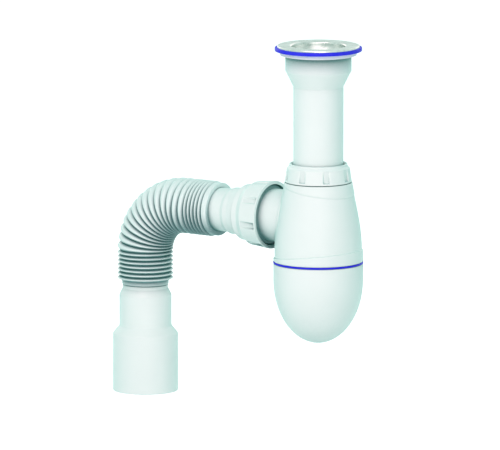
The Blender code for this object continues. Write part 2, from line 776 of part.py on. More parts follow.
def pleat_edges():
    """Where each pleat starts and ends along the hose: closed up, open, spread round the bend, closed up."""
    runs = [
        (TOP_CLOSED_PLEATS, CLOSED_PITCH),
        (TOP_OPEN_PLEATS, OPEN_PITCH),
        (BEND_PLEATS, BEND_R * math.pi / 2 / BEND_PLEATS),
        (LOW_CLOSED_PLEATS, CLOSED_PITCH),
    ]
    edges = [CUFF_LENGTH]
    for count, pitch in runs:
        for _ in range(count):
            edges.append(edges[-1] + pitch)
    return edges


def flex_hose():
    edges = pleat_edges()
    cuff_bore = ADAPTER_PIPE_R + CLEAR
    collar_bore = HOSE_NOSE_R + CLEAR
    outer = [(0, CUFF_R), (CUFF_LENGTH - 2 * CLEAR, CUFF_R)]
    inner = [(0, cuff_bore), (CUFF_LENGTH - CLEAR, cuff_bore)]
    for start, end in zip(edges, edges[1:]):
        middle = (start + end) / 2
        half_crest = CREST_SHARE * (end - start) / 2
        open_pleat = end - start > CLOSED_PITCH + CLEAR
        crests = [middle - half_crest, middle + half_crest] if open_pleat else [middle]
        outer.append((start, PLEAT_ROOT_R))
        outer += [(crest, PLEAT_CREST_R) for crest in crests]
        inner += [(start, PLEAT_ROOT_R - HOSE_WALL), (middle, PLEAT_CREST_R - HOSE_WALL)]
    outer += [(PLEATS_END, PLEAT_ROOT_R), (HOSE_END, PLEAT_ROOT_R)]
    inner += [(PLEATS_END, collar_bore), (HOSE_END, collar_bore)]
    rings = [hose_ring(length, radius) for length, radius in outer + inner[::-1]]
    paint = material("hose_plastic", (0.80, 0.90, 0.88), 0.32)
    hose = ring_body("flex_hose", rings, paint, True)
    hose.location = (BEND_X, 0, BEND_Z)


def end_coupling():
    wall = COUPLING_WALL
    neck_end = -COUPLING_NECK
    cone_end = neck_end - COUPLING_CONE
    small_end = cone_end - COUPLING_SMALL
    large_start = small_end - COUPLING_SHOULDER
    bottom = large_start - COUPLING_LARGE
    nose_top = HOSE_NOSE
    corners = [
        (HOSE_NOSE_R, nose_top, 0),
        (HOSE_NOSE_R, 0, 0),
        (COUPLING_NECK_R, 0, 0),
        (COUPLING_NECK_R, neck_end, 0),
        (COUPLING_SMALL_R, cone_end, COUPLING_FILLET),
        (COUPLING_SMALL_R, small_end, COUPLING_FILLET),
        (COUPLING_LARGE_R, large_start, COUPLING_FILLET),
        (COUPLING_LARGE_R, bottom, COUPLING_FILLET),
        (COUPLING_LARGE_R - wall, bottom, 0),
        (COUPLING_LARGE_R - wall, large_start, 0),
        (COUPLING_SMALL_R - wall, small_end, 0),
        (COUPLING_SMALL_R - wall, cone_end, 0),
        (HOSE_NOSE_R - wall, neck_end, 0),
        (HOSE_NOSE_R - wall, nose_top, 0),
    ]
    coupling = turned("end_coupling", filleted(corners), plastic())
    coupling.location = (COUPLING_X, 0, COUPLING_TOP_Z)


def main():
    clear_scene()
    strainer_cup()
    strainer_screw()
    rim_gasket()
    basin_gasket()
    clamp_nut()
    tailpiece()
    neck_fittings()
    bottle_body()
    cup_gasket()
    bottle_cup()
    outlet_fittings()
    outlet_adapter()
    flex_hose()
    end_coupling()


main()
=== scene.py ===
"""Looks of the bottle sink trap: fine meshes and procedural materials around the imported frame.

Metres, +Z up. The origin is on the tailpiece axis in the basin seat plane, and the outlet arm runs
along -X. Turned pieces are outlines of (radius, height) points, spun about Z or the outlet axis.
"""

import math

import bmesh
import bpy
from mathutils import Matrix, Vector


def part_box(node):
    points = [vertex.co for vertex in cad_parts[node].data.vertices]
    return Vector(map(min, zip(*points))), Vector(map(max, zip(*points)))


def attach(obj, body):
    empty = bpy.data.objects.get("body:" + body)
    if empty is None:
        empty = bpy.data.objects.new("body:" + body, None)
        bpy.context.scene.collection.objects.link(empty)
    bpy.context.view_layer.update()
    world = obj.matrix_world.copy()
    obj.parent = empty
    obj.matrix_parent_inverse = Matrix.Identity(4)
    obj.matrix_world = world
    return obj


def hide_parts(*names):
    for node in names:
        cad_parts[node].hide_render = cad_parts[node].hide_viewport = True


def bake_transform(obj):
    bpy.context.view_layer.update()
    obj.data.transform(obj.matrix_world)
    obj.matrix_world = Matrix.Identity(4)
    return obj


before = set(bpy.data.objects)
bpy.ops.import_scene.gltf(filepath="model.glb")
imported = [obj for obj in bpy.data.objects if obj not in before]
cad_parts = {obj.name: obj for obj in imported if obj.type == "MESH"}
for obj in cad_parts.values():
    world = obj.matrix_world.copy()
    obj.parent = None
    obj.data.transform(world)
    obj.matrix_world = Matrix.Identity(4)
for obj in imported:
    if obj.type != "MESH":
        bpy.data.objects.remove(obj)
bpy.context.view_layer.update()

# Facets round a turn
TURN_STEPS = 128
NUT_STEPS = 360
HOSE_STEPS = 112
SMALL_TURN_STEPS = 64
SCREW_WAY_STEPS = 48
HOLE_STEPS = 32
HEXAGON_STEPS = 6

# Rows along an outline, a pitch or a pleat, and rounds that settle a slanted row
SLANT_ROUNDS = 5
ARC_STEPS = 5
BOWL_ROWS = 20
SHELL_ROWS = 40
COLLAR_ROWS = 8
BAND_ROWS = 6
SPIGOT_ROWS = 24
CUP_ROWS = 44
THREAD_ROWS = 10
PLEAT_ROWS = 14
PLEAT_INNER_ROWS = 6

# Mesh limits: merged distance, sharpest smooth edge and the most of a side that a fillet takes
MERGE = 1e-7
SHARP_ANGLE = math.radians(32)
FILLET_LIMIT = 0.45

# Walls and fits
CLEAR = 0.0003
SLIDE_FIT = 0.0005
WALL = 0.0022
EDGE = 0.0004
THREAD_PITCH = 0.0030
THREAD_DEPTH = 0.0007
THREAD_FLANK_SHARE = 0.625

# Tailpiece and its strainer
PIPE_R = 0.01905
CUP_HEIGHT = 0.0119
CONE_HEIGHT = 0.0120
BOSS_R = 0.0076
BOSS_TOP_Z = -0.0104
BOSS_HEIGHT = 0.0130
RIB_COUNT = 4
RIB_THICK = 0.0020
RIB_HEIGHT = 0.0080
RIB_OVERLAP = 0.0030
CLAMP_NUT_ACROSS = 0.0100
CLAMP_NUT_HEIGHT = 0.0050
SHEET = 0.0007
FLANGE_DOME = 0.0006
FLANGE_EDGE_SHARE = 0.2
BOWL_LIP_SHARE = 0.3
BOWL_R = 0.0205
BOWL_FLOOR_R = 0.0145
DRAIN_HOLE_R = 0.0022
DRAIN_HOLES = 9
SCREW_R = 0.0029
SCREW_CHAMFER = 0.0009
SCREW_HEAD_R = 0.0055
SCREW_EDGE_SHARE = 0.45
SCREW_SLOT = 0.0014
GASKET_HOLE_R = 0.0222

# Union nuts
NECK_THREAD_R = 0.02245
SPIGOT_THREAD_R = 0.0229
NECK_NUT_LIP = 0.0015
NUT_CHAMFER = 0.0019
NUT_COUNTERSINK = 0.0012
NUT_TOP_WALL = 0.0010
NUT_MOUTH_WALL = 0.0025
NUT_NECK_TAPER = 0.0050
NUT_NECK_WALL = 0.0018
NUT_GROOVES = 8
NUT_GROOVE_WIDTH = 0.0050
NUT_GROOVE_WALL = 0.0008
NUT_GROOVE_STOP = 0.0015
NUT_GROOVE_REACH = 0.0141
NUT_GROOVE_SHADE = 0.36
NECK_NUT_TURN = math.radians(4)
OUTLET_NUT_TURN = math.radians(31.5)

# Bottle
BOTTLE_R = 0.0332
BAND_PROUD = 0.0009
COLLAR_PROUD = 0.0004
BAND_SLANT = 0.115
COLLAR_SLANT = 0.154
BAND_DROP = 0.0548
COLLAR_DROP = 0.0055
SHELL_TOP_R = 0.02575
SHELL_SWELL = 1.25
SHELL_WIDEST = 0.0519
SKIRT_R = 0.0300
SKIRT_WALL = 0.0020
SPIGOT_R = 0.0200
SPIGOT_FILLET = 0.0030
SPIGOT_FLARE = 0.0021
SPIGOT_SINK = 0.0010
THREAD_START = 0.0010
CUP_STRAIGHT = 0.0127
FLARE_DEPTH = 0.0040
FLARE_RIM = 0.0009
SEAL_NOSE = 0.0026
SEAL_HEAD = 0.0024
SLIP_RING = 0.0012

# Adapter
ADAPTER_R = 0.0190
ADAPTER_MID_R = 0.0179
ADAPTER_PIPE_R = 0.0166
ADAPTER_WALL = 0.0020
ADAPTER_SHOULDER = 0.0130
ADAPTER_TAPER = 0.0050
ADAPTER_MID = 0.0035
ADAPTER_STEP = 0.0030
INSERT_R = 0.0173

# Bellows hose
CUFF_R = 0.0203
CUFF_LENGTH = 0.0050
CREST_R = 0.0212
ROOT_R = 0.0178
HOSE_WALL = 0.0010
CLOSED_PITCH = 0.00325
OPEN_PITCH = 0.0055
CLOSED_ROUNDNESS = 1.9
OPEN_ROUNDER = 0.9
TOP_CLOSED_PLEATS = 5
TOP_OPEN_PLEATS = 2
BEND_PLEATS = 12
LOW_CLOSED_PLEATS = 7
LOW_PLEATS_IN_BEND = 2
BEND_R = 0.0375
COLLAR_LENGTH = 0.0034
HOSE_NOSE_R = 0.0160
HOSE_NOSE = 0.0110

# Painted shade on the hose, from 0 in the open to 1 at the bottom of a closed groove
GROOVE_GAPE = 0.8
OPEN_GROOVE_EASE = 0.4
CUFF_END_SHADE = 0.4
COLLAR_SHADES = (1, 0.5, 0.2, 0.3, 0.8)
INSIDE_SHADE = 0.6

# End coupling
COUPLING_NECK_R = 0.0173
COUPLING_NECK = 0.0026
COUPLING_CONE = 0.0053
COUPLING_SMALL_R = 0.0200
COUPLING_SMALL = 0.0238
COUPLING_SHOULDER = 0.0061
COUPLING_LARGE_R = 0.0250
COUPLING_WALL = 0.0020
COUPLING_FILLET = 0.0016

# Heights and distances that the frame gives
TAIL_LOW, TAIL_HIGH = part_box("tailpiece")
CUP_R = TAIL_HIGH.x
CONE_TOP_Z = TAIL_HIGH.z - CUP_HEIGHT
CONE_END_Z = CONE_TOP_Z - CONE_HEIGHT
BOSS_END_Z = BOSS_TOP_Z - BOSS_HEIGHT
NECK_LOW, NECK_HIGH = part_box("neck_nut")
BODY_LOW, BODY_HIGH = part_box("bottle_body")
SHELL_TOP_Z = NECK_LOW.z - 2 * CLEAR
SHELL_END_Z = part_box("cup_gasket")[1].z + CLEAR
SLIP_LOW, SLIP_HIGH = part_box("outlet_slip_ring")
OUTLET_Z = (SLIP_LOW.z + SLIP_HIGH.z) / 2
OUTLET_NUT_LOW, OUTLET_NUT_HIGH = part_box("outlet_nut")
ADAPTER_BACK = -SLIP_HIGH.x
SPIGOT_REACH = -BODY_LOW.x
HOSE_START = -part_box("flex_hose")[1].x
COUPLING_LOW, COUPLING_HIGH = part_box("end_coupling")
COUPLING_X = (COUPLING_LOW.x + COUPLING_HIGH.x) / 2
COUPLING_TOP_Z = COUPLING_HIGH.z - HOSE_NOSE

# Lengths along the hose's centre line, from its mouth
STRAIGHT_END = CUFF_LENGTH + TOP_CLOSED_PLEATS * CLOSED_PITCH + TOP_OPEN_PLEATS * OPEN_PITCH
BEND_END = STRAIGHT_END + BEND_R * math.pi / 2
PLEATS_END = BEND_END + LOW_CLOSED_PLEATS * CLOSED_PITCH
HOSE_END = PLEATS_END + COLLAR_LENGTH
SPLIT_AT = BEND_END + LOW_PLEATS_IN_BEND * CLOSED_PITCH
BEND_X = -HOSE_START - STRAIGHT_END
BEND_Z = OUTLET_Z - BEND_R

# Takes a piece that was turned about Z onto the outlet axis, its height along the arm
ON_OUTLET = Matrix.Translation((0, 0, OUTLET_Z)) @ Matrix.Rotation(-math.pi / 2, 4, "Y")

# Noises: features per metre, detail and any stretch
PLASTIC_CLOUDS = (45, 2)
PLASTIC_FLOW = (240, 3, (1, 1, 0.12))
PLASTIC_GRAIN = (2600, 2)
RUBBER_BLOOM = (130, 4)
RUBBER_SKIN = (700, 3)
RUBBER_PITS = (3800, 2)
METAL_SMEARS = (160, 4)
METAL_SCRATCHES = (1500, 3, (1, 0.15, 1))

# The range of a value over which its effect grows
CLOUD_SPAN = (0.35, 0.65)
BLOOM_SPAN = (0.35, 0.70)
MARK_SPAN = (0.3, 0.7)
RING_SPAN = (0.3, 1.6)
GROOVE_SPAN = (0.25, 1)
# UNDERSIDE_SPAN is the slope over which the painted underside shade grows
UNDERSIDE_SPAN = (-0.9, 0.2)

# How far the marks change a colour, a roughness or a relief
CLOUD_TONE = 0.985
BLOOM_PALER = 0.02
GROOVE_SHADE = 0.55
PLASTIC_SMOOTHER = 0.04
PLASTIC_ROUGHER = 0.06
RUBBER_ROUGHER = 0.14
METAL_ROUGHER = 0.12
FLOW_HEIGHT = 0.3
RING_WOBBLE = 1.2
RING_DETAIL = 2

# Relief: a bump's strength and its depth
PLASTIC_RELIEF = (0.22, 0.00005)
RUBBER_RELIEF = (0.35, 0.00005)
METAL_RELIEF = (0.12, 0.00004)

# Painted shade under overhangs and on undersides: its reach, and the shares of open sky that count as closed
# and as clear
PAINTED_SHADE_SAMPLES = 12
OPEN_PAINTED_SHADE = (0.030, 0.37, 0.73)
NUT_PAINTED_SHADE = (0.009, 0.37, 0.73)

# The same for the hose, with what is left of the light on its underside
PLEAT_PAINTED_SHADE = (0.030, 0.28, 0.70, 0.40)

# What is the same all over a surface, set on the shader's own sockets
PLASTIC_GLOSS = {
    "Specular IOR Level": 0.28,
    "Coat Weight": 0.06,
    "Coat Roughness": 0.25,
    "Sheen Weight": 0.34,
    "Sheen Roughness": 0.75,
    "Sheen Tint": (0.25, 1.0, 0.86, 1),
}
RUBBER_GLOSS = {"Specular IOR Level": 0.30}
METAL_GLOSS = {"Metallic": 1.0}

# A colour mix's sockets by number, because their names aren't unique
MIX_FACTOR = 0
MIX_A = 6
MIX_B = 7
MIX_RESULT = 2

# Camera
YAW = math.radians(34.5)
ELEVATION = math.radians(9.0)
CAMERA_DISTANCE = 10.52
CAMERA_LENS = 1000
CAMERA_SENSOR = 36
CAMERA_CLIP = 50
AIM_ACROSS = -0.0517
AIM_Z = -0.13359

# Floor and light
FLOOR_Z = -0.42
FLOOR_SIZE = 14
FLOOR_COLOUR = (0.92, 0.93, 0.93, 1)
FLOOR_ROUGHNESS = 0.9
FLOOR_GLOW = 0.75
SKY_COLOUR = (0.60, 1.0, 0.94)
SKY_STRENGTH = 0.53
MIRRORED_COLOUR = (0.88, 1.0, 0.96)
MIRRORED_STRENGTH = 0.88
LAMP_COLOUR = (1.0, 0.68, 0.73)


# Materials


def node(tree, kind, inputs=None, **settings):
    """A shader node with its settings and its inputs, each a value or another node's output."""
    made = tree.nodes.new(kind)
    for name, value in settings.items():
        setattr(made, name, value)
    for name, value in (inputs or {}).items():
        socket = made.inputs[name]
        if isinstance(value, bpy.types.NodeSocket):
            tree.links.new(value, socket)
        else:
            socket.default_value = value
    return made


def new_material(name):
    """A new material with its node tree and its shader."""
    material = bpy.data.materials.new(name)
    material.use_nodes = True
    tree = material.node_tree
    return material, tree, tree.nodes["Principled BSDF"]


def mixed(tree, factor, first, second):
    """The output of a mix of two colours, each (red, green, blue) or another node's output."""
    first, second = [(*part, 1) if isinstance(part, tuple) else part for part in (first, second)]
    inputs = {MIX_FACTOR: factor, MIX_A: first, MIX_B: second}
    return node(tree, "ShaderNodeMix", inputs, data_type="RGBA").outputs[MIX_RESULT]


def ranged(tree, value, low, high, to_low=0, to_high=1):
    """The output of a value spread from one range onto another."""
    sockets = {"Value": value, "From Min": low, "From Max": high, "To Min": to_low, "To Max": to_high}
    return node(tree, "ShaderNodeMapRange", sockets).outputs[0]


def surface_noise(tree, scale, detail, stretch=(1, 1, 1)):
    """Noise over the piece itself, of some features per metre."""
    coords = node(tree, "ShaderNodeTexCoord").outputs["Object"]
    mapped = node(tree, "ShaderNodeMapping", {"Vector": coords, "Scale": stretch}).outputs[0]
    return node(tree, "ShaderNodeTexNoise", {"Vector": mapped, "Scale": scale, "Detail": detail}).outputs[0]


def painted_overhead_shade(tree, reach, closed, clear, under=1):
    """Painted shade: 0 where a surface is roofed over within some reach, 1 in the open, less where it faces
    down.
    """
    normal = node(tree, "ShaderNodeNewGeometry").outputs["Normal"]
    raised = node(tree, "ShaderNodeVectorMath", {0: normal, 1: (0, 0, 1)}, operation="ADD").outputs[0]
    upward = node(tree, "ShaderNodeVectorMath", {0: raised}, operation="NORMALIZE").outputs[0]
    inputs = {"Distance": reach, "Normal": upward}
    sky_share = node(tree, "ShaderNodeAmbientOcclusion", inputs, samples=PAINTED_SHADE_SAMPLES).outputs["AO"]
    facing = node(tree, "ShaderNodeSeparateXYZ", {0: normal}).outputs["Z"]
    # Painted shade on undersides: the more a surface faces down, the less open it counts
    below = ranged(tree, facing, *UNDERSIDE_SPAN, under, 1)
    lit = node(tree, "ShaderNodeMath", {0: sky_share, 1: below}, operation="MULTIPLY").outputs[0]
    return ranged(tree, lit, closed, clear)


def finish_shader(tree, shader, tone, rough, height, relief, gloss):
    """Gives a shader its colour, its roughness, its relief and its constants."""
    strength, depth = relief
    bump = node(tree, "ShaderNodeBump", {"Height": height, "Strength": strength, "Distance": depth})
    tree.links.new(tone, shader.inputs["Base Color"])
    tree.links.new(rough, shader.inputs["Roughness"])
    tree.links.new(bump.outputs[0], shader.inputs["Normal"])
    for name, value in gloss.items():
        shader.inputs[name].default_value = value


def moulded_plastic(name, colour, shade, roughness, painted_shade_spread=OPEN_PAINTED_SHADE, with_painted_groove_shade=False):
    """Polypropylene: faint clouds and flow marks, fine grain, and painted shade under overhangs, in its
    corners and on undersides.
    """
    material, tree, shader = new_material(name)
    clouds = ranged(tree, surface_noise(tree, *PLASTIC_CLOUDS), *CLOUD_SPAN)
    tone = mixed(tree, clouds, colour, tuple(CLOUD_TONE * part for part in colour))
    # Painted shade: the colour turns to the shade colour under overhangs and on undersides
    tone = mixed(tree, painted_overhead_shade(tree, *painted_shade_spread), shade, tone)
    # Painted shade in grooves, from the groove shade stored at each vertex
    if with_painted_groove_shade:
        depth = node(tree, "ShaderNodeAttribute", attribute_name="groove").outputs["Fac"]
        tone = mixed(tree, ranged(tree, depth, *GROOVE_SPAN, 0, GROOVE_SHADE), tone, shade)
    flow = surface_noise(tree, *PLASTIC_FLOW)
    grain = surface_noise(tree, *PLASTIC_GRAIN)
    rough = ranged(tree, flow, *MARK_SPAN, roughness - PLASTIC_SMOOTHER, roughness + PLASTIC_ROUGHER)
    inputs = {0: flow, 1: FLOW_HEIGHT, 2: grain}
    height = node(tree, "ShaderNodeMath", inputs, operation="MULTIPLY_ADD").outputs[0]
    finish_shader(tree, shader, tone, rough, height, PLASTIC_RELIEF, PLASTIC_GLOSS)
    return material


def rubber(name, colour, roughness):
    """An elastomer with a dull bloom and a fine pitted skin."""
    material, tree, shader = new_material(name)
    bloom = ranged(tree, surface_noise(tree, *RUBBER_BLOOM), *BLOOM_SPAN)
    tone = mixed(tree, bloom, colour, tuple(part + BLOOM_PALER * (1 - part) for part in colour))
    skin = surface_noise(tree, *RUBBER_SKIN)
    rough = ranged(tree, skin, *MARK_SPAN, roughness, roughness + RUBBER_ROUGHER)
    height = surface_noise(tree, *RUBBER_PITS)
    finish_shader(tree, shader, tone, rough, height, RUBBER_RELIEF, RUBBER_GLOSS)
    return material


def metal(name, colour, dark, roughness, ring_scale):
    """A pressed or turned metal with faint rings about Z, smears and fine scratches."""
    material, tree, shader = new_material(name)
    smears = ranged(tree, surface_noise(tree, *METAL_SMEARS), *BLOOM_SPAN)
    tone = mixed(tree, smears, colour, dark)
    coords = node(tree, "ShaderNodeTexCoord").outputs["Object"]
    waves = {"Vector": coords, "Scale": ring_scale, "Distortion": RING_WOBBLE, "Detail": RING_DETAIL}
    rings = node(tree, "ShaderNodeTexWave", waves, wave_type="RINGS", rings_direction="Z").outputs["Fac"]
    scratches = surface_noise(tree, *METAL_SCRATCHES)
    marks = node(tree, "ShaderNodeMath", {0: rings, 1: scratches}, operation="ADD").outputs[0]
    rough = ranged(tree, marks, *RING_SPAN, roughness, roughness + METAL_ROUGHER)
    finish_shader(tree, shader, tone, rough, marks, METAL_RELIEF, METAL_GLOSS)
    return material


def make_materials():
    """A material for each slot of the record."""
    mint = (0.89, 0.955, 0.94)
    # deep and pleat_shade are painted shade colours, for the plastics and for the hose
    deep = (0.12, 0.22, 0.225)
    nut_mint = (0.90, 0.96, 0.945)
    pale_grey = (0.85, 0.95, 0.935)
    pleat_shade = (0.135, 0.215, 0.235)
    return {
        "white_plastic": moulded_plastic("trap_plastic", mint, deep, 0.38),
        "nut_plastic": moulded_plastic("nut_plastic", nut_mint, deep, 0.36, NUT_PAINTED_SHADE, True),
        "hose_plastic": moulded_plastic("hose_plastic", pale_grey, pleat_shade, 0.34, PLEAT_PAINTED_SHADE, True),
        "slip_plastic": moulded_plastic("slip_plastic", (0.76, 0.80, 0.80), (0.4, 0.45, 0.45), 0.38),
        "blue_rubber": rubber("blue_rubber", (0.012, 0.016, 0.82), 0.42),
        "white_rubber": rubber("white_rubber", (0.90, 0.96, 0.94), 0.45),
        "seal_rubber": rubber("seal_rubber", (0.62, 0.68, 0.69), 0.50),
        "strainer_steel": metal("strainer_steel", (0.72, 0.81, 0.775), (0.56, 0.65, 0.615), 0.26, 260),
        "screw_steel": metal("screw_steel", (0.62, 0.64, 0.63), (0.45, 0.47, 0.46), 0.24, 400),
        "brass": metal("brass", (0.72, 0.50, 0.19), (0.50, 0.33, 0.11), 0.28, 500),
    }


MATERIALS = make_materials()


# Angles, shares and outlines


def full_turn(count):
    """Evenly spaced angles round a turn."""
    return [2 * math.pi * index / count for index in range(count)]


def quarter_turn(steps):
    """Evenly spaced angles from 0 to a right angle."""
    return [step / steps * math.pi / 2 for step in range(steps + 1)]


def shares(steps):
    """Evenly spaced shares from 0 to 1."""
    return [step / steps for step in range(steps + 1)]


def polar(radius, angle, height):
    """A point at some radius, angle and height round Z."""
    return radius * math.cos(angle), radius * math.sin(angle), height


def smooth_step(value):
    """A value held between 0 and 1, with soft ends."""
    value = min(max(value, 0), 1)
    return value * value * (3 - 2 * value)


def rounded(corners):
    """Rounds each (radius, height, fillet) corner of a closed outline, as far as its two sides allow."""
    outline = []
    for index, (radius, height, fillet) in enumerate(corners):
        here = Vector((radius, height))
        before = Vector(corners[index - 1][:2]) - here
        after = Vector(corners[(index + 1) % len(corners)][:2]) - here
        if not fillet:
            outline.append(tuple(here))
            continue
        reach = fillet / math.tan(before.angle(after) / 2)
        reach = min(reach, FILLET_LIMIT * before.length, FILLET_LIMIT * after.length)
        start = here + before.normalized() * reach
        end = here + after.normalized() * reach
        for t in shares(ARC_STEPS):
            point = start * (1 - t) ** 2 + here * 2 * t * (1 - t) + end * t ** 2
            outline.append(tuple(point))
    return outline


def ring_outline(inner, outer, low, high, fillets):
    """A ring's outline, with its fillets given from the inner lower corner round to the inner upper."""
    corners = [(inner, low), (outer, low), (outer, high), (inner, high)]
    return rounded([(*corner, fillet) for corner, fillet in zip(corners, fillets)])


def thickened(path, thickness):
    """Closes an open path into an outline, with a second side to its left."""
    other = []
    for index, here in enumerate(path):
        before = Vector(path[max(index - 1, 0)])
        after = Vector(path[min(index + 1, len(path) - 1)])
        run = (after - before).normalized()
        other.append((here[0] - run.y * thickness, here[1] + run.x * thickness))
    return list(path) + other[::-1]


def divided(outline, longest):
    """Adds points along the long sides of a closed outline."""
    points = []
    for index, here in enumerate(outline):
        following = outline[(index + 1) % len(outline)]
        run = Vector(following) - Vector(here)
        count = max(1, math.ceil(run.length / longest))
        for step in range(count):
            points.append((here[0] + run.x * step / count, here[1] + run.y * step / count))
    return points


def threaded(radius, height, angle, low, high):
    """A radius with a round-form thread on it between two heights, fading out at both ends."""
    phase = (height / THREAD_PITCH - angle / (2 * math.pi)) % 1
    ridge = smooth_step(1 - abs(2 * phase - 1) / THREAD_FLANK_SHARE)
    fade = smooth_step((height - low) / THREAD_DEPTH) * smooth_step((high - height) / THREAD_DEPTH)
    return radius - THREAD_DEPTH * (1 - ridge) * fade


# Meshes


def in_scene(name, data):
    """A new object in the scene, of a mesh, a lamp or a camera."""
    obj = bpy.data.objects.new(name, data)
    bpy.context.scene.collection.objects.link(obj)
    return obj


def meshed(name, bm):
    """An object of a finished bmesh, which is freed."""
    mesh = bpy.data.meshes.new(name)
    bm.to_mesh(mesh)
    bm.free()
    return in_scene(name, mesh)


def skinned(name, rows, closed=True):
    """A mesh over rows of ring points. Closed rows join last to first, others end in flat caps."""
    bm = bmesh.new()
    verts = [[bm.verts.new(point) for point in row] for row in rows]
    pairs = list(zip(verts, verts[1:]))
    if closed:
        pairs.append((verts[-1], verts[0]))
    for row, following in pairs:
        for index in range(len(row)):
            bm.faces.new((row[index - 1], row[index], following[index], following[index - 1]))
    if not closed:
        bm.faces.new(verts[0])
        bm.faces.new(verts[-1])
    bmesh.ops.remove_doubles(bm, verts=bm.verts, dist=MERGE)
    bmesh.ops.dissolve_degenerate(bm, edges=bm.edges, dist=MERGE)
    bmesh.ops.recalc_face_normals(bm, faces=bm.faces)
    return meshed(name, bm)


def spun(name, outline, steps=TURN_STEPS, shape=None):
    """Turns an outline about Z. A shape function may move each (radius, height) at its angle."""
    on_axis = outline[0][0] < MERGE
    rows = []
    for radius, height in outline:
        row = []
        for angle in full_turn(steps):
            r, z = shape(radius, height, angle) if shape else (radius, height)
            row.append(polar(r, angle, z))
        rows.append(row)
    return skinned(name, rows, closed=not on_axis)


def blocks(name, count, size, centre_r, centre_z):
    """Blocks of (radial, across, height) size, evenly spaced round Z in one mesh."""
    bm = bmesh.new()
    for angle in full_turn(count):
        place = Matrix.Rotation(angle, 4, "Z") @ Matrix.Translation((centre_r, 0, centre_z))
        bmesh.ops.create_cube(bm, size=1, matrix=place @ Matrix.Diagonal((*size, 1)))
    return meshed(name, bm)


def cut(obj, operation, other):
    """Applies a Boolean with another object, which is then deleted."""
    modifier = obj.modifiers.new("cut", "BOOLEAN")
    modifier.operation = operation
    modifier.solver = "EXACT"
    modifier.object = other
    bpy.context.view_layer.update()
    graph = bpy.context.evaluated_depsgraph_get()
    mesh = bpy.data.meshes.new_from_object(obj.evaluated_get(graph))
    obj.modifiers.clear()
    old = obj.data
    obj.data = mesh
    bpy.data.meshes.remove(old)
    bpy.data.objects.remove(other)
    return obj


def paint_groove_shade(obj, depths):
    """Stores painted shade at each vertex, mostly how deep in a groove it lies, which darkens the plastic's
    colour there.
    """
    attribute = obj.data.attributes.new("groove", "FLOAT", "POINT")
    attribute.data.foreach_set("value", depths)


def dressed(obj, slot):
    """Gives a piece, or a solid that stays as it is, the material of its slot."""
    obj.data.materials.clear()
    obj.data.materials.append(MATERIALS[slot])


def placed(obj, body, slot, *replaced, matrix=None):
    """Finishes a piece: its place, its smooth shading, its material, its body and the nodes it stands for."""
    if matrix:
        obj.data.transform(matrix)
    obj.data.shade_smooth()
    obj.data.set_sharp_from_angle(angle=SHARP_ANGLE)
    dressed(obj, slot)
    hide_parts(*replaced)
    if body:
        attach(obj, body)
    return obj


# Strainer, screw and gaskets


def strainer():
    """The pressed cup, drawn along its upper side from the flange's edge to the screw hole."""
    low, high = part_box("strainer_cup")
    edge = FLANGE_EDGE_SHARE * (high.x - BOWL_R)
    lip = BOWL_LIP_SHARE * (high.x - BOWL_R)
    bowl_top = high.z - 2 * FLANGE_DOME
    floor_z = low.z + SHEET
    path = [(high.x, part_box("rim_gasket")[1].z + CLEAR / 3)]
    for angle in quarter_turn(ARC_STEPS):
        radius = high.x - edge * (1 - math.cos(angle))
        path.append((radius, high.z - FLANGE_DOME * (1 - math.sin(angle))))
    for angle in quarter_turn(ARC_STEPS):
        radius = BOWL_R + lip * (1 - math.sin(angle))
        path.append((radius, high.z - 2 * FLANGE_DOME * (1 - math.cos(angle))))
    for angle in quarter_turn(BOWL_ROWS)[1:]:
        radius = BOWL_FLOOR_R + (BOWL_R - BOWL_FLOOR_R) * math.cos(angle)
        path.append((radius, bowl_top - (bowl_top - floor_z) * math.sin(angle)))
    path.append((SCREW_R + CLEAR, floor_z))
    cup = spun("strainer", thickened(path, SHEET))
    cut(cup, "DIFFERENCE", drain_holes(floor_z))
    placed(cup, "waste", "strainer_steel", "strainer_cup")


def drain_holes(height):
    """Cutters for the drain holes, in a ring round the screw."""
    ring_r = (BOWL_FLOOR_R + SCREW_HEAD_R) / 2 + SHEET
    bm = bmesh.new()
    for angle in full_turn(DRAIN_HOLES):
        bmesh.ops.create_cone(
            bm,
            cap_ends=True,
            segments=HOLE_STEPS,
            radius1=DRAIN_HOLE_R,
            radius2=DRAIN_HOLE_R,
            depth=2 * WALL,
            matrix=Matrix.Translation(polar(ring_r, angle, height)),
        )
    return meshed("drain_holes", bm)


def screw():
    """The clamping screw, with a domed and slotted head."""
    low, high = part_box("strainer_screw")
    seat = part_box("strainer_cup")[0].z + SHEET + CLEAR
    head_edge = seat + (high.z - seat) * SCREW_EDGE_SHARE
    outline = [
        (0, low.z),
        (SCREW_R - SCREW_CHAMFER, low.z),
        (SCREW_R, low.z + SCREW_CHAMFER),
        (SCREW_R, seat),
        (SCREW_HEAD_R, seat),
    ]
    for angle in quarter_turn(2 * ARC_STEPS)[:-1]:
        outline.append((SCREW_HEAD_R * math.cos(angle), head_edge + (high.z - head_edge) * math.sin(angle)))
    outline.append((0, high.z))
    piece = spun("screw", outline, SMALL_TURN_STEPS)
    slot = blocks("screw_slot", 1, (3 * SCREW_HEAD_R, SCREW_SLOT, high.z - seat), 0, high.z)
    cut(piece, "DIFFERENCE", slot)
    placed(piece, "waste", "screw_steel", "strainer_screw")


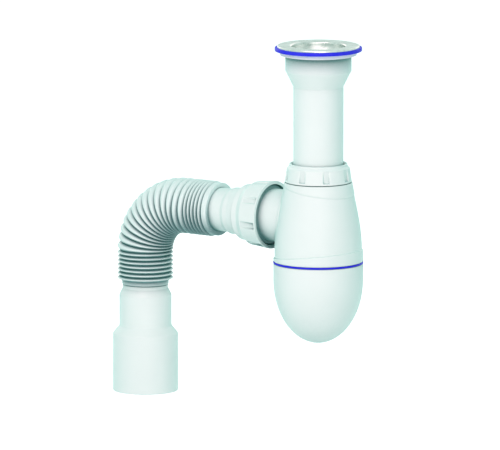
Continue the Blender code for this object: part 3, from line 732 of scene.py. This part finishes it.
def gaskets():
    """The blue ring under the flange, the white one under it and the blue one round the bottle."""
    low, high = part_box("rim_gasket")
    white_low, white_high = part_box("basin_gasket")
    under = white_high.x + CLEAR
    corners = [
        (GASKET_HOLE_R, CLEAR, 0),
        (under, CLEAR, 0),
        (under + CLEAR, low.z, 0),
        (high.x, low.z, EDGE / 2),
        (high.x, high.z, 1.5 * EDGE),
        (GASKET_HOLE_R, high.z, EDGE / 2),
    ]
    placed(spun("rim_ring", rounded(corners)), "waste", "blue_rubber", "rim_gasket")
    outline = ring_outline(GASKET_HOLE_R, white_high.x, white_low.z, white_high.z, (EDGE / 2, EDGE, 0, 0))
    placed(spun("basin_ring", outline), "waste", "white_rubber", "basin_gasket")
    low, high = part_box("cup_gasket")
    outline = ring_outline(SKIRT_R + SLIDE_FIT, high.x, low.z, high.z, (0, EDGE, EDGE, 0))
    placed(spun("bottle_ring", outline), "cup_ring", "blue_rubber", "cup_gasket")


# Tailpiece


def spider():
    """The boss and its ribs, which stay when the tailpiece is hollowed."""
    outline = ring_outline(0, BOSS_R, BOSS_END_Z, BOSS_TOP_Z, (0, EDGE, EDGE, 0))
    boss = spun("boss", outline, SMALL_TURN_STEPS)
    root = BOSS_R - RIB_OVERLAP
    size = (CUP_R - root, RIB_THICK, RIB_HEIGHT)
    ribs = blocks("ribs", RIB_COUNT, size, (CUP_R + root) / 2, BOSS_TOP_Z - RIB_HEIGHT / 2 - CLEAR)
    return cut(boss, "UNION", ribs)


def tailpiece():
    """The cup, cone and pipe, hollowed round the spider, with its screw hole and nut pocket."""
    low, high = TAIL_LOW.z, TAIL_HIGH.z
    bore = PIPE_R - WALL
    outer = [
        (0, low, 0),
        (PIPE_R, low, EDGE),
        (PIPE_R, CONE_END_Z, 2 * EDGE),
        (CUP_R, CONE_TOP_Z, 2 * EDGE),
        (CUP_R, high, EDGE),
        (0, high, 0),
    ]
    hollow = [
        (0, low - WALL, 0),
        (bore, low - WALL, 0),
        (bore, CONE_END_Z, 2 * EDGE),
        (CUP_R - WALL, CONE_TOP_Z, 2 * EDGE),
        (CUP_R - WALL, high + WALL, 0),
        (0, high + WALL, 0),
    ]
    tube = spun("tailpiece_tube", rounded(outer))
    inside = spun("tailpiece_bore", rounded(hollow))
    cut(inside, "DIFFERENCE", spider())
    cut(tube, "DIFFERENCE", inside)
    below = BOSS_END_Z - WALL
    above = BOSS_TOP_Z + WALL
    way_r = SCREW_R + CLEAR
    way = [(0, below), (way_r, below), (way_r, above), (0, above)]
    cut(tube, "DIFFERENCE", spun("screw_way", way, SCREW_WAY_STEPS))
    pocket_r = (CLAMP_NUT_ACROSS / 2 + CLEAR) / math.cos(math.pi / HEXAGON_STEPS)
    pocket_z = BOSS_END_Z + CLAMP_NUT_HEIGHT + 2 * CLEAR
    pocket = [(0, below), (pocket_r, below), (pocket_r, pocket_z), (0, pocket_z)]
    cut(tube, "DIFFERENCE", spun("pocket", pocket, HEXAGON_STEPS))
    placed(tube, "waste", "white_plastic", "tailpiece")


# Union nuts, slip rings and seals


def nut_outline(bore, mouth, shoulder, top, tube_r, necked):
    """A tapered nut, closed above its shoulder by a tapered neck or by a chamfer and a low lip."""
    lip_bore = tube_r + SLIDE_FIT
    corners = [
        (bore, mouth, 0),
        (bore + NUT_MOUTH_WALL, mouth, EDGE / 2),
        (bore + NUT_TOP_WALL, shoulder, 2 * EDGE),
    ]
    if necked:
        neck_r = lip_bore + NUT_NECK_WALL
        corners += [
            (neck_r, shoulder + NUT_NECK_TAPER, 2 * EDGE),
            (neck_r, top, EDGE),
            (lip_bore, top, EDGE),
        ]
    else:
        lip_r = bore + NUT_TOP_WALL - NUT_CHAMFER
        corners += [
            (lip_r, shoulder + NUT_CHAMFER, EDGE),
            (lip_r, top, EDGE),
            (lip_bore + NUT_COUNTERSINK, top, EDGE / 2),
            (lip_bore, top - NUT_COUNTERSINK, EDGE / 2),
        ]
    corners += [(lip_bore, shoulder, 0), (bore, shoulder, 0)]
    return divided(rounded(corners), EDGE)


def union_nut(name, outline, mouth, turn, bore):
    """A nut turned from its outline, with its grip grooves sunk into the outer side and painted shade marked
    in them.
    """
    low = mouth + NUT_GROOVE_STOP
    high = mouth + NUT_GROOVE_REACH
    floor_r = bore + NUT_GROOVE_WALL
    spacing = 2 * math.pi / NUT_GROOVES

    def groove(radius, height, angle):
        """How far inside a groove a point is, from 0 on the land to 1."""
        if radius < floor_r or not low - EDGE < height < high:
            return 0
        off_centre = abs((angle - turn + spacing / 2) % spacing - spacing / 2) * radius
        inside = smooth_step((NUT_GROOVE_WIDTH / 2 - off_centre) / (2 * EDGE) + 0.5)
        inside *= smooth_step((height - low) / (2 * EDGE) + 0.5)
        return inside * smooth_step((high - height) / EDGE)

    def shape(radius, height, angle):
        """Sinks a point of the outer side to the groove's floor."""
        return radius + (floor_r - radius) * groove(radius, height, angle), height

    piece = spun(name, outline, NUT_STEPS, shape)
    # Painted shade in the grip grooves
    marks = []
    for vertex in piece.data.vertices:
        x, y, height = vertex.co
        angle = math.atan2(y, x) % (2 * math.pi)
        marks.append(NUT_GROOVE_SHADE * groove(math.hypot(x, y) + MERGE, height, angle))
    paint_groove_shade(piece, marks)
    return piece


def nuts():
    """The neck nut, open downwards, and the outlet nut, open towards the bottle."""
    bore = NECK_THREAD_R + SLIDE_FIT
    mouth, top = NECK_LOW.z, NECK_HIGH.z
    shoulder = top - NECK_NUT_LIP - NUT_CHAMFER
    outline = nut_outline(bore, mouth, shoulder, top, PIPE_R, False)
    piece = union_nut("neck_union_nut", outline, mouth, NECK_NUT_TURN, bore)
    placed(piece, "neck_nut", "nut_plastic", "neck_nut")
    bore = SPIGOT_THREAD_R + SLIDE_FIT
    mouth, top = -OUTLET_NUT_HIGH.x, -OUTLET_NUT_LOW.x
    shoulder = ADAPTER_BACK + SLIP_RING + CLEAR
    outline = nut_outline(bore, mouth, shoulder, top, ADAPTER_R, True)
    piece = union_nut("outlet_union_nut", outline, mouth, OUTLET_NUT_TURN, bore)
    placed(piece, "outlet_nut", "nut_plastic", "outlet_nut", matrix=ON_OUTLET)


def slip_ring(name, thread_r, tube_r, low):
    """A flat ring between a nut and its seal."""
    return spun(name, ring_outline(tube_r + SLIDE_FIT, thread_r, low, low + SLIP_RING, [EDGE / 2] * 4))


def cone_seal(name, thread_r, bore, tube_r, rim):
    """A wedge seal: a head on the rim of the flared mouth, and a nose inside it."""
    inner = tube_r + CLEAR
    mouth_r = thread_r - FLARE_RIM
    nose_r = mouth_r - (mouth_r - bore) * SEAL_NOSE / FLARE_DEPTH
    corners = [
        (inner, rim - SEAL_NOSE, EDGE / 2),
        (nose_r - CLEAR, rim - SEAL_NOSE, EDGE / 2),
        (mouth_r - CLEAR, rim, 0),
        (mouth_r - CLEAR, rim + CLEAR, 0),
        (thread_r - CLEAR, rim + CLEAR, EDGE / 2),
        (thread_r - CLEAR, rim + CLEAR + SEAL_HEAD, EDGE),
        (inner, rim + CLEAR + SEAL_HEAD, EDGE / 2),
    ]
    return spun(name, rounded(corners))


def rings_and_seals():
    """The slip ring and the seal under each of the two nuts."""
    washer = slip_ring("neck_washer", NECK_THREAD_R, PIPE_R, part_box("neck_slip_ring")[0].z)
    placed(washer, "neck_ring", "slip_plastic", "neck_slip_ring")
    washer = slip_ring("outlet_washer", SPIGOT_THREAD_R, ADAPTER_R, ADAPTER_BACK)
    placed(washer, "outlet_ring", "slip_plastic", "outlet_slip_ring", matrix=ON_OUTLET)
    wedge = cone_seal("neck_wedge", NECK_THREAD_R, PIPE_R + SLIDE_FIT, PIPE_R, BODY_HIGH.z)
    placed(wedge, "neck_seal", "seal_rubber", "neck_seal")
    wedge = cone_seal("outlet_wedge", SPIGOT_THREAD_R, SPIGOT_R - WALL, INSERT_R, SPIGOT_REACH)
    placed(wedge, "adapter", "seal_rubber", "outlet_seal", matrix=ON_OUTLET)


# Bottle


def shell_radius(height):
    """The egg's outer radius on the upper shell, from its shoulder down to the band."""
    share = min(max((SHELL_TOP_Z - height) / SHELL_WIDEST, 0), 1)
    swell = math.sin(share * math.pi / 2) ** SHELL_SWELL
    return SHELL_TOP_R + (BOTTLE_R - SHELL_TOP_R) * swell


def slanted_row(height, slant, proud):
    """A ring of the shell in a plane that falls towards +X by its slant."""
    row = []
    for angle in full_turn(TURN_STEPS):
        at = height
        for _ in range(SLANT_ROUNDS):
            radius = shell_radius(at) + proud
            at = height - slant * radius * math.cos(angle)
        row.append(polar(radius, angle, at))
    return row


def flat_row(radius, height, low=0, high=0):
    """A level ring, threaded where a thread's two ends are given."""
    row = []
    for angle in full_turn(TURN_STEPS):
        r = threaded(radius, height, angle, low, high) if high > low else radius
        row.append(polar(r, angle, height))
    return row


def thread_rows(radius, top, low):
    """Rows down a threaded sleeve, top first."""
    rows = []
    count = math.ceil((top - low) / (THREAD_PITCH / THREAD_ROWS))
    for index in range(count + 1):
        height = top + (low - top) * index / count
        rows.append(flat_row(radius, height, low + EDGE, top - EDGE))
    return rows


def bottle_body():
    """The neck, the egg shell with its slanted collar and band, the skirt and the side outlet."""
    collar_z = SHELL_TOP_Z - COLLAR_DROP
    band_z = SHELL_TOP_Z - BAND_DROP
    rows = [flat_row(NECK_THREAD_R - EDGE, BODY_HIGH.z)]
    rows += thread_rows(NECK_THREAD_R, BODY_HIGH.z - EDGE, SHELL_TOP_Z + EDGE)
    rows.append(flat_row(NECK_THREAD_R, SHELL_TOP_Z))
    rows.append(slanted_row(SHELL_TOP_Z, 0, COLLAR_PROUD / 2 - EDGE))
    for share in shares(COLLAR_ROWS):
        height = SHELL_TOP_Z - EDGE + (collar_z - SHELL_TOP_Z + 2 * EDGE) * share
        rows.append(slanted_row(height, COLLAR_SLANT * share, COLLAR_PROUD * (0.5 + 0.5 * share)))
    rows.append(slanted_row(collar_z, COLLAR_SLANT, COLLAR_PROUD / 2))
    for share in shares(SHELL_ROWS):
        slant = COLLAR_SLANT - (BAND_SLANT + COLLAR_SLANT) * share
        height = collar_z - CLEAR + (band_z - collar_z + 2 * CLEAR) * share
        rows.append(slanted_row(height, slant, 0))
    rows.append(slanted_row(band_z, -BAND_SLANT, BAND_PROUD / 2))
    for share in shares(BAND_ROWS):
        height = band_z - CLEAR + (SHELL_END_Z + EDGE - band_z + CLEAR) * share
        rows.append(slanted_row(height, -BAND_SLANT * (1 - share), BAND_PROUD))
    rows.append(slanted_row(SHELL_END_Z, 0, BAND_PROUD - EDGE / 2))
    rows.append(flat_row(SKIRT_R, SHELL_END_Z))
    rows += thread_rows(SKIRT_R, SHELL_END_Z - EDGE, BODY_LOW.z + EDGE)
    rows.append(flat_row(SKIRT_R - EDGE, BODY_LOW.z))
    body = skinned("bottle_upper", rows, closed=False)
    cut(body, "UNION", outlet_spigot())
    cut(body, "DIFFERENCE", bottle_hollow())
    cut(body, "DIFFERENCE", outlet_bore())
    placed(body, "bottle", "white_plastic", "bottle_body")


def outlet_spigot():
    """The side outlet, with a soft root where it leaves the shell and a thread at its end."""
    thread_start = -OUTLET_NUT_HIGH.x + THREAD_START
    turns = full_turn(TURN_STEPS)
    grid = [[(SPIGOT_R, SKIRT_R - SPIGOT_R)] * TURN_STEPS]
    for share in shares(SPIGOT_ROWS):
        flare = SPIGOT_FLARE * (1 - math.sqrt(1 - (1 - share) ** 2))
        row = []
        for angle in turns:
            wall_r = shell_radius(OUTLET_Z + SPIGOT_R * math.cos(angle))
            wall = math.sqrt(wall_r ** 2 - (SPIGOT_R * math.sin(angle)) ** 2)
            row.append((SPIGOT_R + flare, wall - SPIGOT_SINK + SPIGOT_FILLET * share))
        grid.append(row)
    last = grid[-1]
    for share in shares(ARC_STEPS)[1:]:
        grid.append([(SPIGOT_R, at + (thread_start - at) * share) for _, at in last])
    thread_low, thread_high = thread_start + EDGE, SPIGOT_REACH - EDGE
    grid.append([(SPIGOT_THREAD_R - THREAD_DEPTH, thread_low)] * TURN_STEPS)
    count = math.ceil((thread_high - thread_low) / (THREAD_PITCH / THREAD_ROWS))
    for index in range(1, count):
        at = thread_low + (thread_high - thread_low) * index / count
        radii = [threaded(SPIGOT_THREAD_R, at, angle, thread_start, thread_high) for angle in turns]
        grid.append([(radius, at) for radius in radii])
    grid.append([(SPIGOT_THREAD_R - EDGE, SPIGOT_REACH)] * TURN_STEPS)
    rows = [[polar(r, angle, at) for (r, at), angle in zip(row, turns)] for row in grid]
    spigot = skinned("outlet_spigot", rows, closed=False)
    spigot.data.transform(ON_OUTLET)
    return spigot


def bottle_hollow():
    """The space inside the neck, the shell and the skirt."""
    skirt_bore = SKIRT_R - SKIRT_WALL
    neck_bore = PIPE_R + SLIDE_FIT
    flare_r = NECK_THREAD_R - FLARE_RIM
    ease = WALL / FLARE_DEPTH * (flare_r - neck_bore)
    outline = [
        (0, BODY_HIGH.z + WALL),
        (flare_r + ease, BODY_HIGH.z + WALL),
        (neck_bore, BODY_HIGH.z - FLARE_DEPTH),
        (neck_bore, SHELL_TOP_Z - WALL),
    ]
    top = SHELL_TOP_Z - 2 * WALL
    end = SHELL_END_Z + 4 * WALL
    for index in range(SHELL_ROWS):
        height = top + (end - top) * index / (SHELL_ROWS - 1)
        outline.append((shell_radius(height) - WALL, height))
    outline += [
        (skirt_bore, SHELL_END_Z),
        (skirt_bore, BODY_LOW.z - WALL),
        (0, BODY_LOW.z - WALL),
    ]
    return spun("bottle_hollow", outline)


def outlet_bore():
    """The space inside the side outlet, flared at its mouth for the seal."""
    bore = SPIGOT_R - WALL
    mouth_r = SPIGOT_THREAD_R - FLARE_RIM
    ease = WALL / FLARE_DEPTH * (mouth_r - bore)
    outline = [
        (0, 0),
        (bore, 0),
        (bore, SPIGOT_REACH - FLARE_DEPTH),
        (mouth_r + ease, SPIGOT_REACH + WALL),
        (0, SPIGOT_REACH + WALL),
    ]
    cutter = spun("outlet_bore", outline)
    cutter.data.transform(ON_OUTLET)
    return cutter


def egg(radius, top, bottom):
    """Points down a quarter of an ellipse, from the cup's widest ring to its pole."""
    points = []
    for angle in quarter_turn(CUP_ROWS):
        points.append((radius * math.cos(angle), top - (top - bottom) * math.sin(angle)))
    points[-1] = (0, bottom)
    return points


def bottle_cup():
    """The lower half of the bottle, from its pole up to the rim and down its bore again."""
    low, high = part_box("bottle_cup")
    outer_r = BOTTLE_R + BAND_PROUD
    bore = SKIRT_R + SLIDE_FIT
    egg_z = high.z - CUP_STRAIGHT
    thread_end = BODY_LOW.z - WALL
    outer = [(outer_r - EDGE / 2, high.z), (outer_r, high.z - EDGE)] + egg(outer_r, egg_z, low.z)
    inner = [point for point in egg(outer_r - WALL, egg_z, low.z + WALL) if point[1] < thread_end - WALL]
    outline = outer[::-1] + [(bore, high.z), (bore, thread_end)] + inner
    placed(spun("bottle_lower", outline), "cup", "white_plastic", "bottle_cup")


# Adapter, hose and end coupling


def adapter():
    """The stepped arm from the outlet nut to the hose, with its insert and its nose."""
    low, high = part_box("outlet_adapter")
    insert_start, end = -high.x, -low.x
    taper = ADAPTER_BACK + ADAPTER_SHOULDER
    mid = taper + ADAPTER_TAPER
    step = mid + ADAPTER_MID
    pipe = step + ADAPTER_STEP
    pipe_end = HOSE_START + CUFF_LENGTH - 2 * CLEAR
    wall = ADAPTER_WALL
    corners = [
        (INSERT_R, insert_start, EDGE),
        (INSERT_R, ADAPTER_BACK, 0),
        (ADAPTER_R, ADAPTER_BACK, EDGE),
        (ADAPTER_R, taper, 3 * EDGE),
        (ADAPTER_MID_R, mid, 3 * EDGE),
        (ADAPTER_MID_R, step, 3 * EDGE),
        (ADAPTER_PIPE_R, pipe, 3 * EDGE),
        (ADAPTER_PIPE_R, pipe_end, EDGE),
        (HOSE_NOSE_R, pipe_end, 0),
        (HOSE_NOSE_R, end, EDGE),
        (HOSE_NOSE_R - wall, end, EDGE),
        (HOSE_NOSE_R - wall, pipe_end - wall, EDGE),
        (ADAPTER_PIPE_R - wall, pipe_end - 2 * wall, EDGE),
        (ADAPTER_PIPE_R - wall, pipe, EDGE),
        (ADAPTER_MID_R - wall, step, EDGE),
        (ADAPTER_R - wall, taper, EDGE),
        (ADAPTER_R - wall, ADAPTER_BACK + 2 * wall, EDGE),
        (INSERT_R - wall, ADAPTER_BACK + wall, EDGE),
        (INSERT_R - wall, insert_start, EDGE),
    ]
    piece = spun("arm_adapter", rounded(corners))
    placed(piece, "adapter", "white_plastic", "outlet_adapter", matrix=ON_OUTLET)


def hose_ring(length, radius):
    """A ring of the hose, square to its centre line at some length from its mouth."""
    if length < STRAIGHT_END:
        centre = Vector((-HOSE_START - length, 0, OUTLET_Z))
        outward = Vector((0, 0, 1))
    elif length < BEND_END:
        angle = (length - STRAIGHT_END) / BEND_R
        outward = Vector((-math.sin(angle), 0, math.cos(angle)))
        centre = Vector((BEND_X, 0, BEND_Z)) + outward * BEND_R
    else:
        outward = Vector((-1, 0, 0))
        centre = Vector((BEND_X - BEND_R, 0, BEND_Z - (length - BEND_END)))
    side = Vector((0, 1, 0))
    turns = full_turn(HOSE_STEPS)
    return [centre + (outward * math.cos(a) + side * math.sin(a)) * radius for a in turns]


def pleats():
    """The lengths at which each pleat starts and ends."""
    runs = [
        (TOP_CLOSED_PLEATS, CLOSED_PITCH),
        (TOP_OPEN_PLEATS, OPEN_PITCH),
        (BEND_PLEATS, BEND_R * math.pi / 2 / BEND_PLEATS),
        (LOW_CLOSED_PLEATS, CLOSED_PITCH),
    ]
    edges = [CUFF_LENGTH]
    for count, pitch in runs:
        for _ in range(count):
            edges.append(edges[-1] + pitch)
    return list(zip(edges, edges[1:]))


def pleat_profile(start, end, points):
    """(length, radius, painted groove shade) points over one pleat. Open pleats have wider grooves with less
    painted shade.
    """
    profile = []
    open_share = smooth_step((end - start - CLOSED_PITCH) / (OPEN_PITCH - CLOSED_PITCH))
    roundness = CLOSED_ROUNDNESS + OPEN_ROUNDER * open_share
    shade = 1 - OPEN_GROOVE_EASE * open_share
    for index in range(points):
        phase = index / points
        rise = 1 - abs(2 * phase - 1) ** roundness
        radius = ROOT_R + (CREST_R - ROOT_R) * rise
        profile.append((start + (end - start) * phase, radius, (1 - rise) * shade))
    return profile


def hose_outside():
    """(length, radius, painted shade) points along the hose's cuff, its pleats and its collar."""
    cuff = CUFF_LENGTH - 2 * CLEAR
    points = [(0, CUFF_R - EDGE, 0), (EDGE / 3, CUFF_R - EDGE / 3, 0), (EDGE, CUFF_R, 0)]
    points += [(cuff - EDGE, CUFF_R, 0), (cuff, CUFF_R - EDGE, CUFF_END_SHADE)]
    for start, end in pleats():
        points += pleat_profile(start, end, PLEAT_ROWS)
    collar = [
        (PLEATS_END, ROOT_R),
        (PLEATS_END + EDGE, ROOT_R),
        (PLEATS_END + COLLAR_LENGTH / 2, ROOT_R),
        (HOSE_END - EDGE, ROOT_R),
        (HOSE_END, ROOT_R - EDGE),
    ]
    return points + [(*point, tone) for point, tone in zip(collar, COLLAR_SHADES)]


def hose_inside():
    """The same along its bore, which fits the adapter's pipe and the coupling's nose."""
    cuff_bore = ADAPTER_PIPE_R + CLEAR
    collar_bore = HOSE_NOSE_R + CLEAR
    points = [(0, cuff_bore), (CUFF_LENGTH - CLEAR, cuff_bore)]
    for start, end in pleats():
        points += [(at, radius - HOSE_WALL) for at, radius, _ in pleat_profile(start, end, PLEAT_INNER_ROWS)]
    points += [(PLEATS_END, collar_bore), (HOSE_END, collar_bore)]
    # Painted shade inside the bore
    return [(*point, INSIDE_SHADE) for point in points]


def hose_piece(name, first, last):
    """A stretch of the hose. Its grooves gape on the bend's outer side, where they get less painted shade."""
    outside = [row for row in hose_outside() if first <= row[0] <= last]
    inside = [row for row in hose_inside() if first <= row[0] <= last]
    rows = outside + inside[::-1]
    obj = skinned(name, [hose_ring(length, radius) for length, radius, _ in rows])
    outward = [0.5 + 0.5 * math.cos(angle) for angle in full_turn(HOSE_STEPS)]
    shades = [1 - GROOVE_GAPE * share ** 2 for share in outward]
    paint_groove_shade(obj, [groove * shade for _, _, groove in rows for shade in shades])
    return placed(obj, None, "hose_plastic", "flex_hose")


def hose():
    """The bellows as two pieces, split a little below the bend."""
    piece = hose_piece("hose_bellows_bend", 0, SPLIT_AT)
    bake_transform(piece)
    piece = hose_piece("hose_bellows_drop", SPLIT_AT - MERGE, HOSE_END)
    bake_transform(piece)


def coupling():
    """The stepped end coupling, with the nose that the hose's collar grips."""
    wall = COUPLING_WALL
    neck_end = -COUPLING_NECK
    cone_end = neck_end - COUPLING_CONE
    small_end = cone_end - COUPLING_SMALL
    large_start = small_end - COUPLING_SHOULDER
    bottom = COUPLING_LOW.z - COUPLING_TOP_Z
    corners = [
        (HOSE_NOSE_R, HOSE_NOSE, EDGE),
        (HOSE_NOSE_R, 0, 0),
        (COUPLING_NECK_R, 0, EDGE),
        (COUPLING_NECK_R, neck_end, 2 * EDGE),
        (COUPLING_SMALL_R, cone_end, COUPLING_FILLET),
        (COUPLING_SMALL_R, small_end, COUPLING_FILLET),
        (COUPLING_LARGE_R, large_start, COUPLING_FILLET),
        (COUPLING_LARGE_R, bottom, COUPLING_FILLET),
        (COUPLING_LARGE_R - wall, bottom, 0),
        (COUPLING_LARGE_R - wall, large_start, EDGE),
        (COUPLING_SMALL_R - wall, small_end, EDGE),
        (COUPLING_SMALL_R - wall, cone_end, EDGE),
        (HOSE_NOSE_R - wall, neck_end, EDGE),
        (HOSE_NOSE_R - wall, HOSE_NOSE, EDGE / 2),
    ]
    matrix = Matrix.Translation((COUPLING_X, 0, COUPLING_TOP_Z))
    piece = spun("end_sleeve", rounded(corners))
    placed(piece, "coupling", "white_plastic", "end_coupling", matrix=matrix)


# Stage


def seen_directly(tree):
    """1 for rays from the camera and for those that metal and glass send on."""
    path = node(tree, "ShaderNodeLightPath").outputs
    inputs = {0: path["Is Camera Ray"], 1: path["Is Glossy Ray"]}
    either = node(tree, "ShaderNodeMath", inputs, operation="MAXIMUM").outputs[0]
    inputs = {0: either, 1: path["Is Transmission Ray"]}
    return node(tree, "ShaderNodeMath", inputs, operation="MAXIMUM").outputs[0]


def floor():
    """A pale floor that looks brighter than the light it takes, where it is seen directly."""
    bpy.ops.mesh.primitive_plane_add(size=FLOOR_SIZE, location=(0, 0, FLOOR_Z))
    plane = bpy.context.object
    plane.name = "floor"
    material, tree, shader = new_material("floor")
    shader.inputs["Base Color"].default_value = FLOOR_COLOUR
    shader.inputs["Roughness"].default_value = FLOOR_ROUGHNESS
    glow = node(tree, "ShaderNodeEmission", {"Strength": FLOOR_GLOW})
    both = node(tree, "ShaderNodeAddShader", {0: shader.outputs[0], 1: glow.outputs[0]})
    inputs = {0: seen_directly(tree), 1: shader.outputs[0], 2: both.outputs[0]}
    choice = node(tree, "ShaderNodeMixShader", inputs)
    tree.links.new(choice.outputs[0], tree.nodes["Material Output"].inputs["Surface"])
    plane.data.materials.append(material)


def background(tree, colour, strength):
    """The output of a world background."""
    return node(tree, "ShaderNodeBackground", {"Color": (*colour, 1), "Strength": strength}).outputs[0]


def sky():
    """A soft teal light on the object, a paler tone in its reflections and white for the camera."""
    world = bpy.data.worlds.new("studio")
    bpy.context.scene.world = world
    world.use_nodes = True
    tree = world.node_tree
    tree.nodes.clear()
    soft = background(tree, SKY_COLOUR, SKY_STRENGTH)
    pale = background(tree, MIRRORED_COLOUR, MIRRORED_STRENGTH)
    white = background(tree, (1, 1, 1), 1)
    others = node(tree, "ShaderNodeMixShader", {0: seen_directly(tree), 1: soft, 2: pale}).outputs[0]
    first = node(tree, "ShaderNodeLightPath").outputs["Is Camera Ray"]
    choice = node(tree, "ShaderNodeMixShader", {0: first, 1: others, 2: white})
    output = node(tree, "ShaderNodeOutputWorld")
    tree.links.new(choice.outputs[0], output.inputs["Surface"])


def view_axes():
    """The directions to the camera's right and from the object towards the camera."""
    right = Vector((math.cos(YAW), math.sin(YAW), 0))
    level = math.cos(ELEVATION)
    toward = Vector((math.sin(YAW) * level, -math.cos(YAW) * level, math.sin(ELEVATION)))
    return right, toward


def aimed(name, data, way, distance):
    """A camera or a lamp, some way and distance from the middle of the view, which it faces."""
    obj = in_scene(name, data)
    right = view_axes()[0]
    obj.location = right * AIM_ACROSS + Vector((0, 0, AIM_Z)) + way * distance
    obj.rotation_euler = (-way).to_track_quat("-Z", "Y").to_euler()
    return obj


def camera():
    """A long lens, because the photo shows next to no perspective."""
    data = bpy.data.cameras.new("camera")
    data.lens = CAMERA_LENS
    data.sensor_width = CAMERA_SENSOR
    data.clip_end = CAMERA_CLIP
    bpy.context.scene.camera = aimed("camera", data, view_axes()[1], CAMERA_DISTANCE)


def lamp(name, across, up, near, distance, size, watts):
    """A soft square lamp, placed by its direction from the object as the camera sees it."""
    right, toward = view_axes()
    way = (right * across + Vector((0, 0, up)) + toward * near).normalized()
    data = bpy.data.lights.new(name, "AREA")
    data.size = size
    data.energy = watts
    data.color = LAMP_COLOUR
    aimed(name, data, way, distance)


def light():
    """A key and a fill in front, and two weaker lamps that draw the edges from behind."""
    lamp("key", across=-0.45, up=0.80, near=1.0, distance=1.9, size=1.2, watts=18)
    lamp("fill", across=0.20, up=0.15, near=1.0, distance=1.9, size=1.3, watts=8)
    lamp("back_left", across=-0.60, up=0.60, near=-1.0, distance=2.0, size=1.1, watts=5.5)
    lamp("back_right", across=0.50, up=0.60, near=-1.0, distance=2.0, size=1.1, watts=3.5)


def main():
    bpy.context.scene.view_settings.view_transform = "Standard"
    camera()
    strainer()
    screw()
    gaskets()
    tailpiece()
    nuts()
    rings_and_seals()
    bottle_body()
    bottle_cup()
    adapter()
    hose()
    coupling()
    dressed(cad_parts["clamp_nut"], "brass")
    floor()
    sky()
    light()


main()
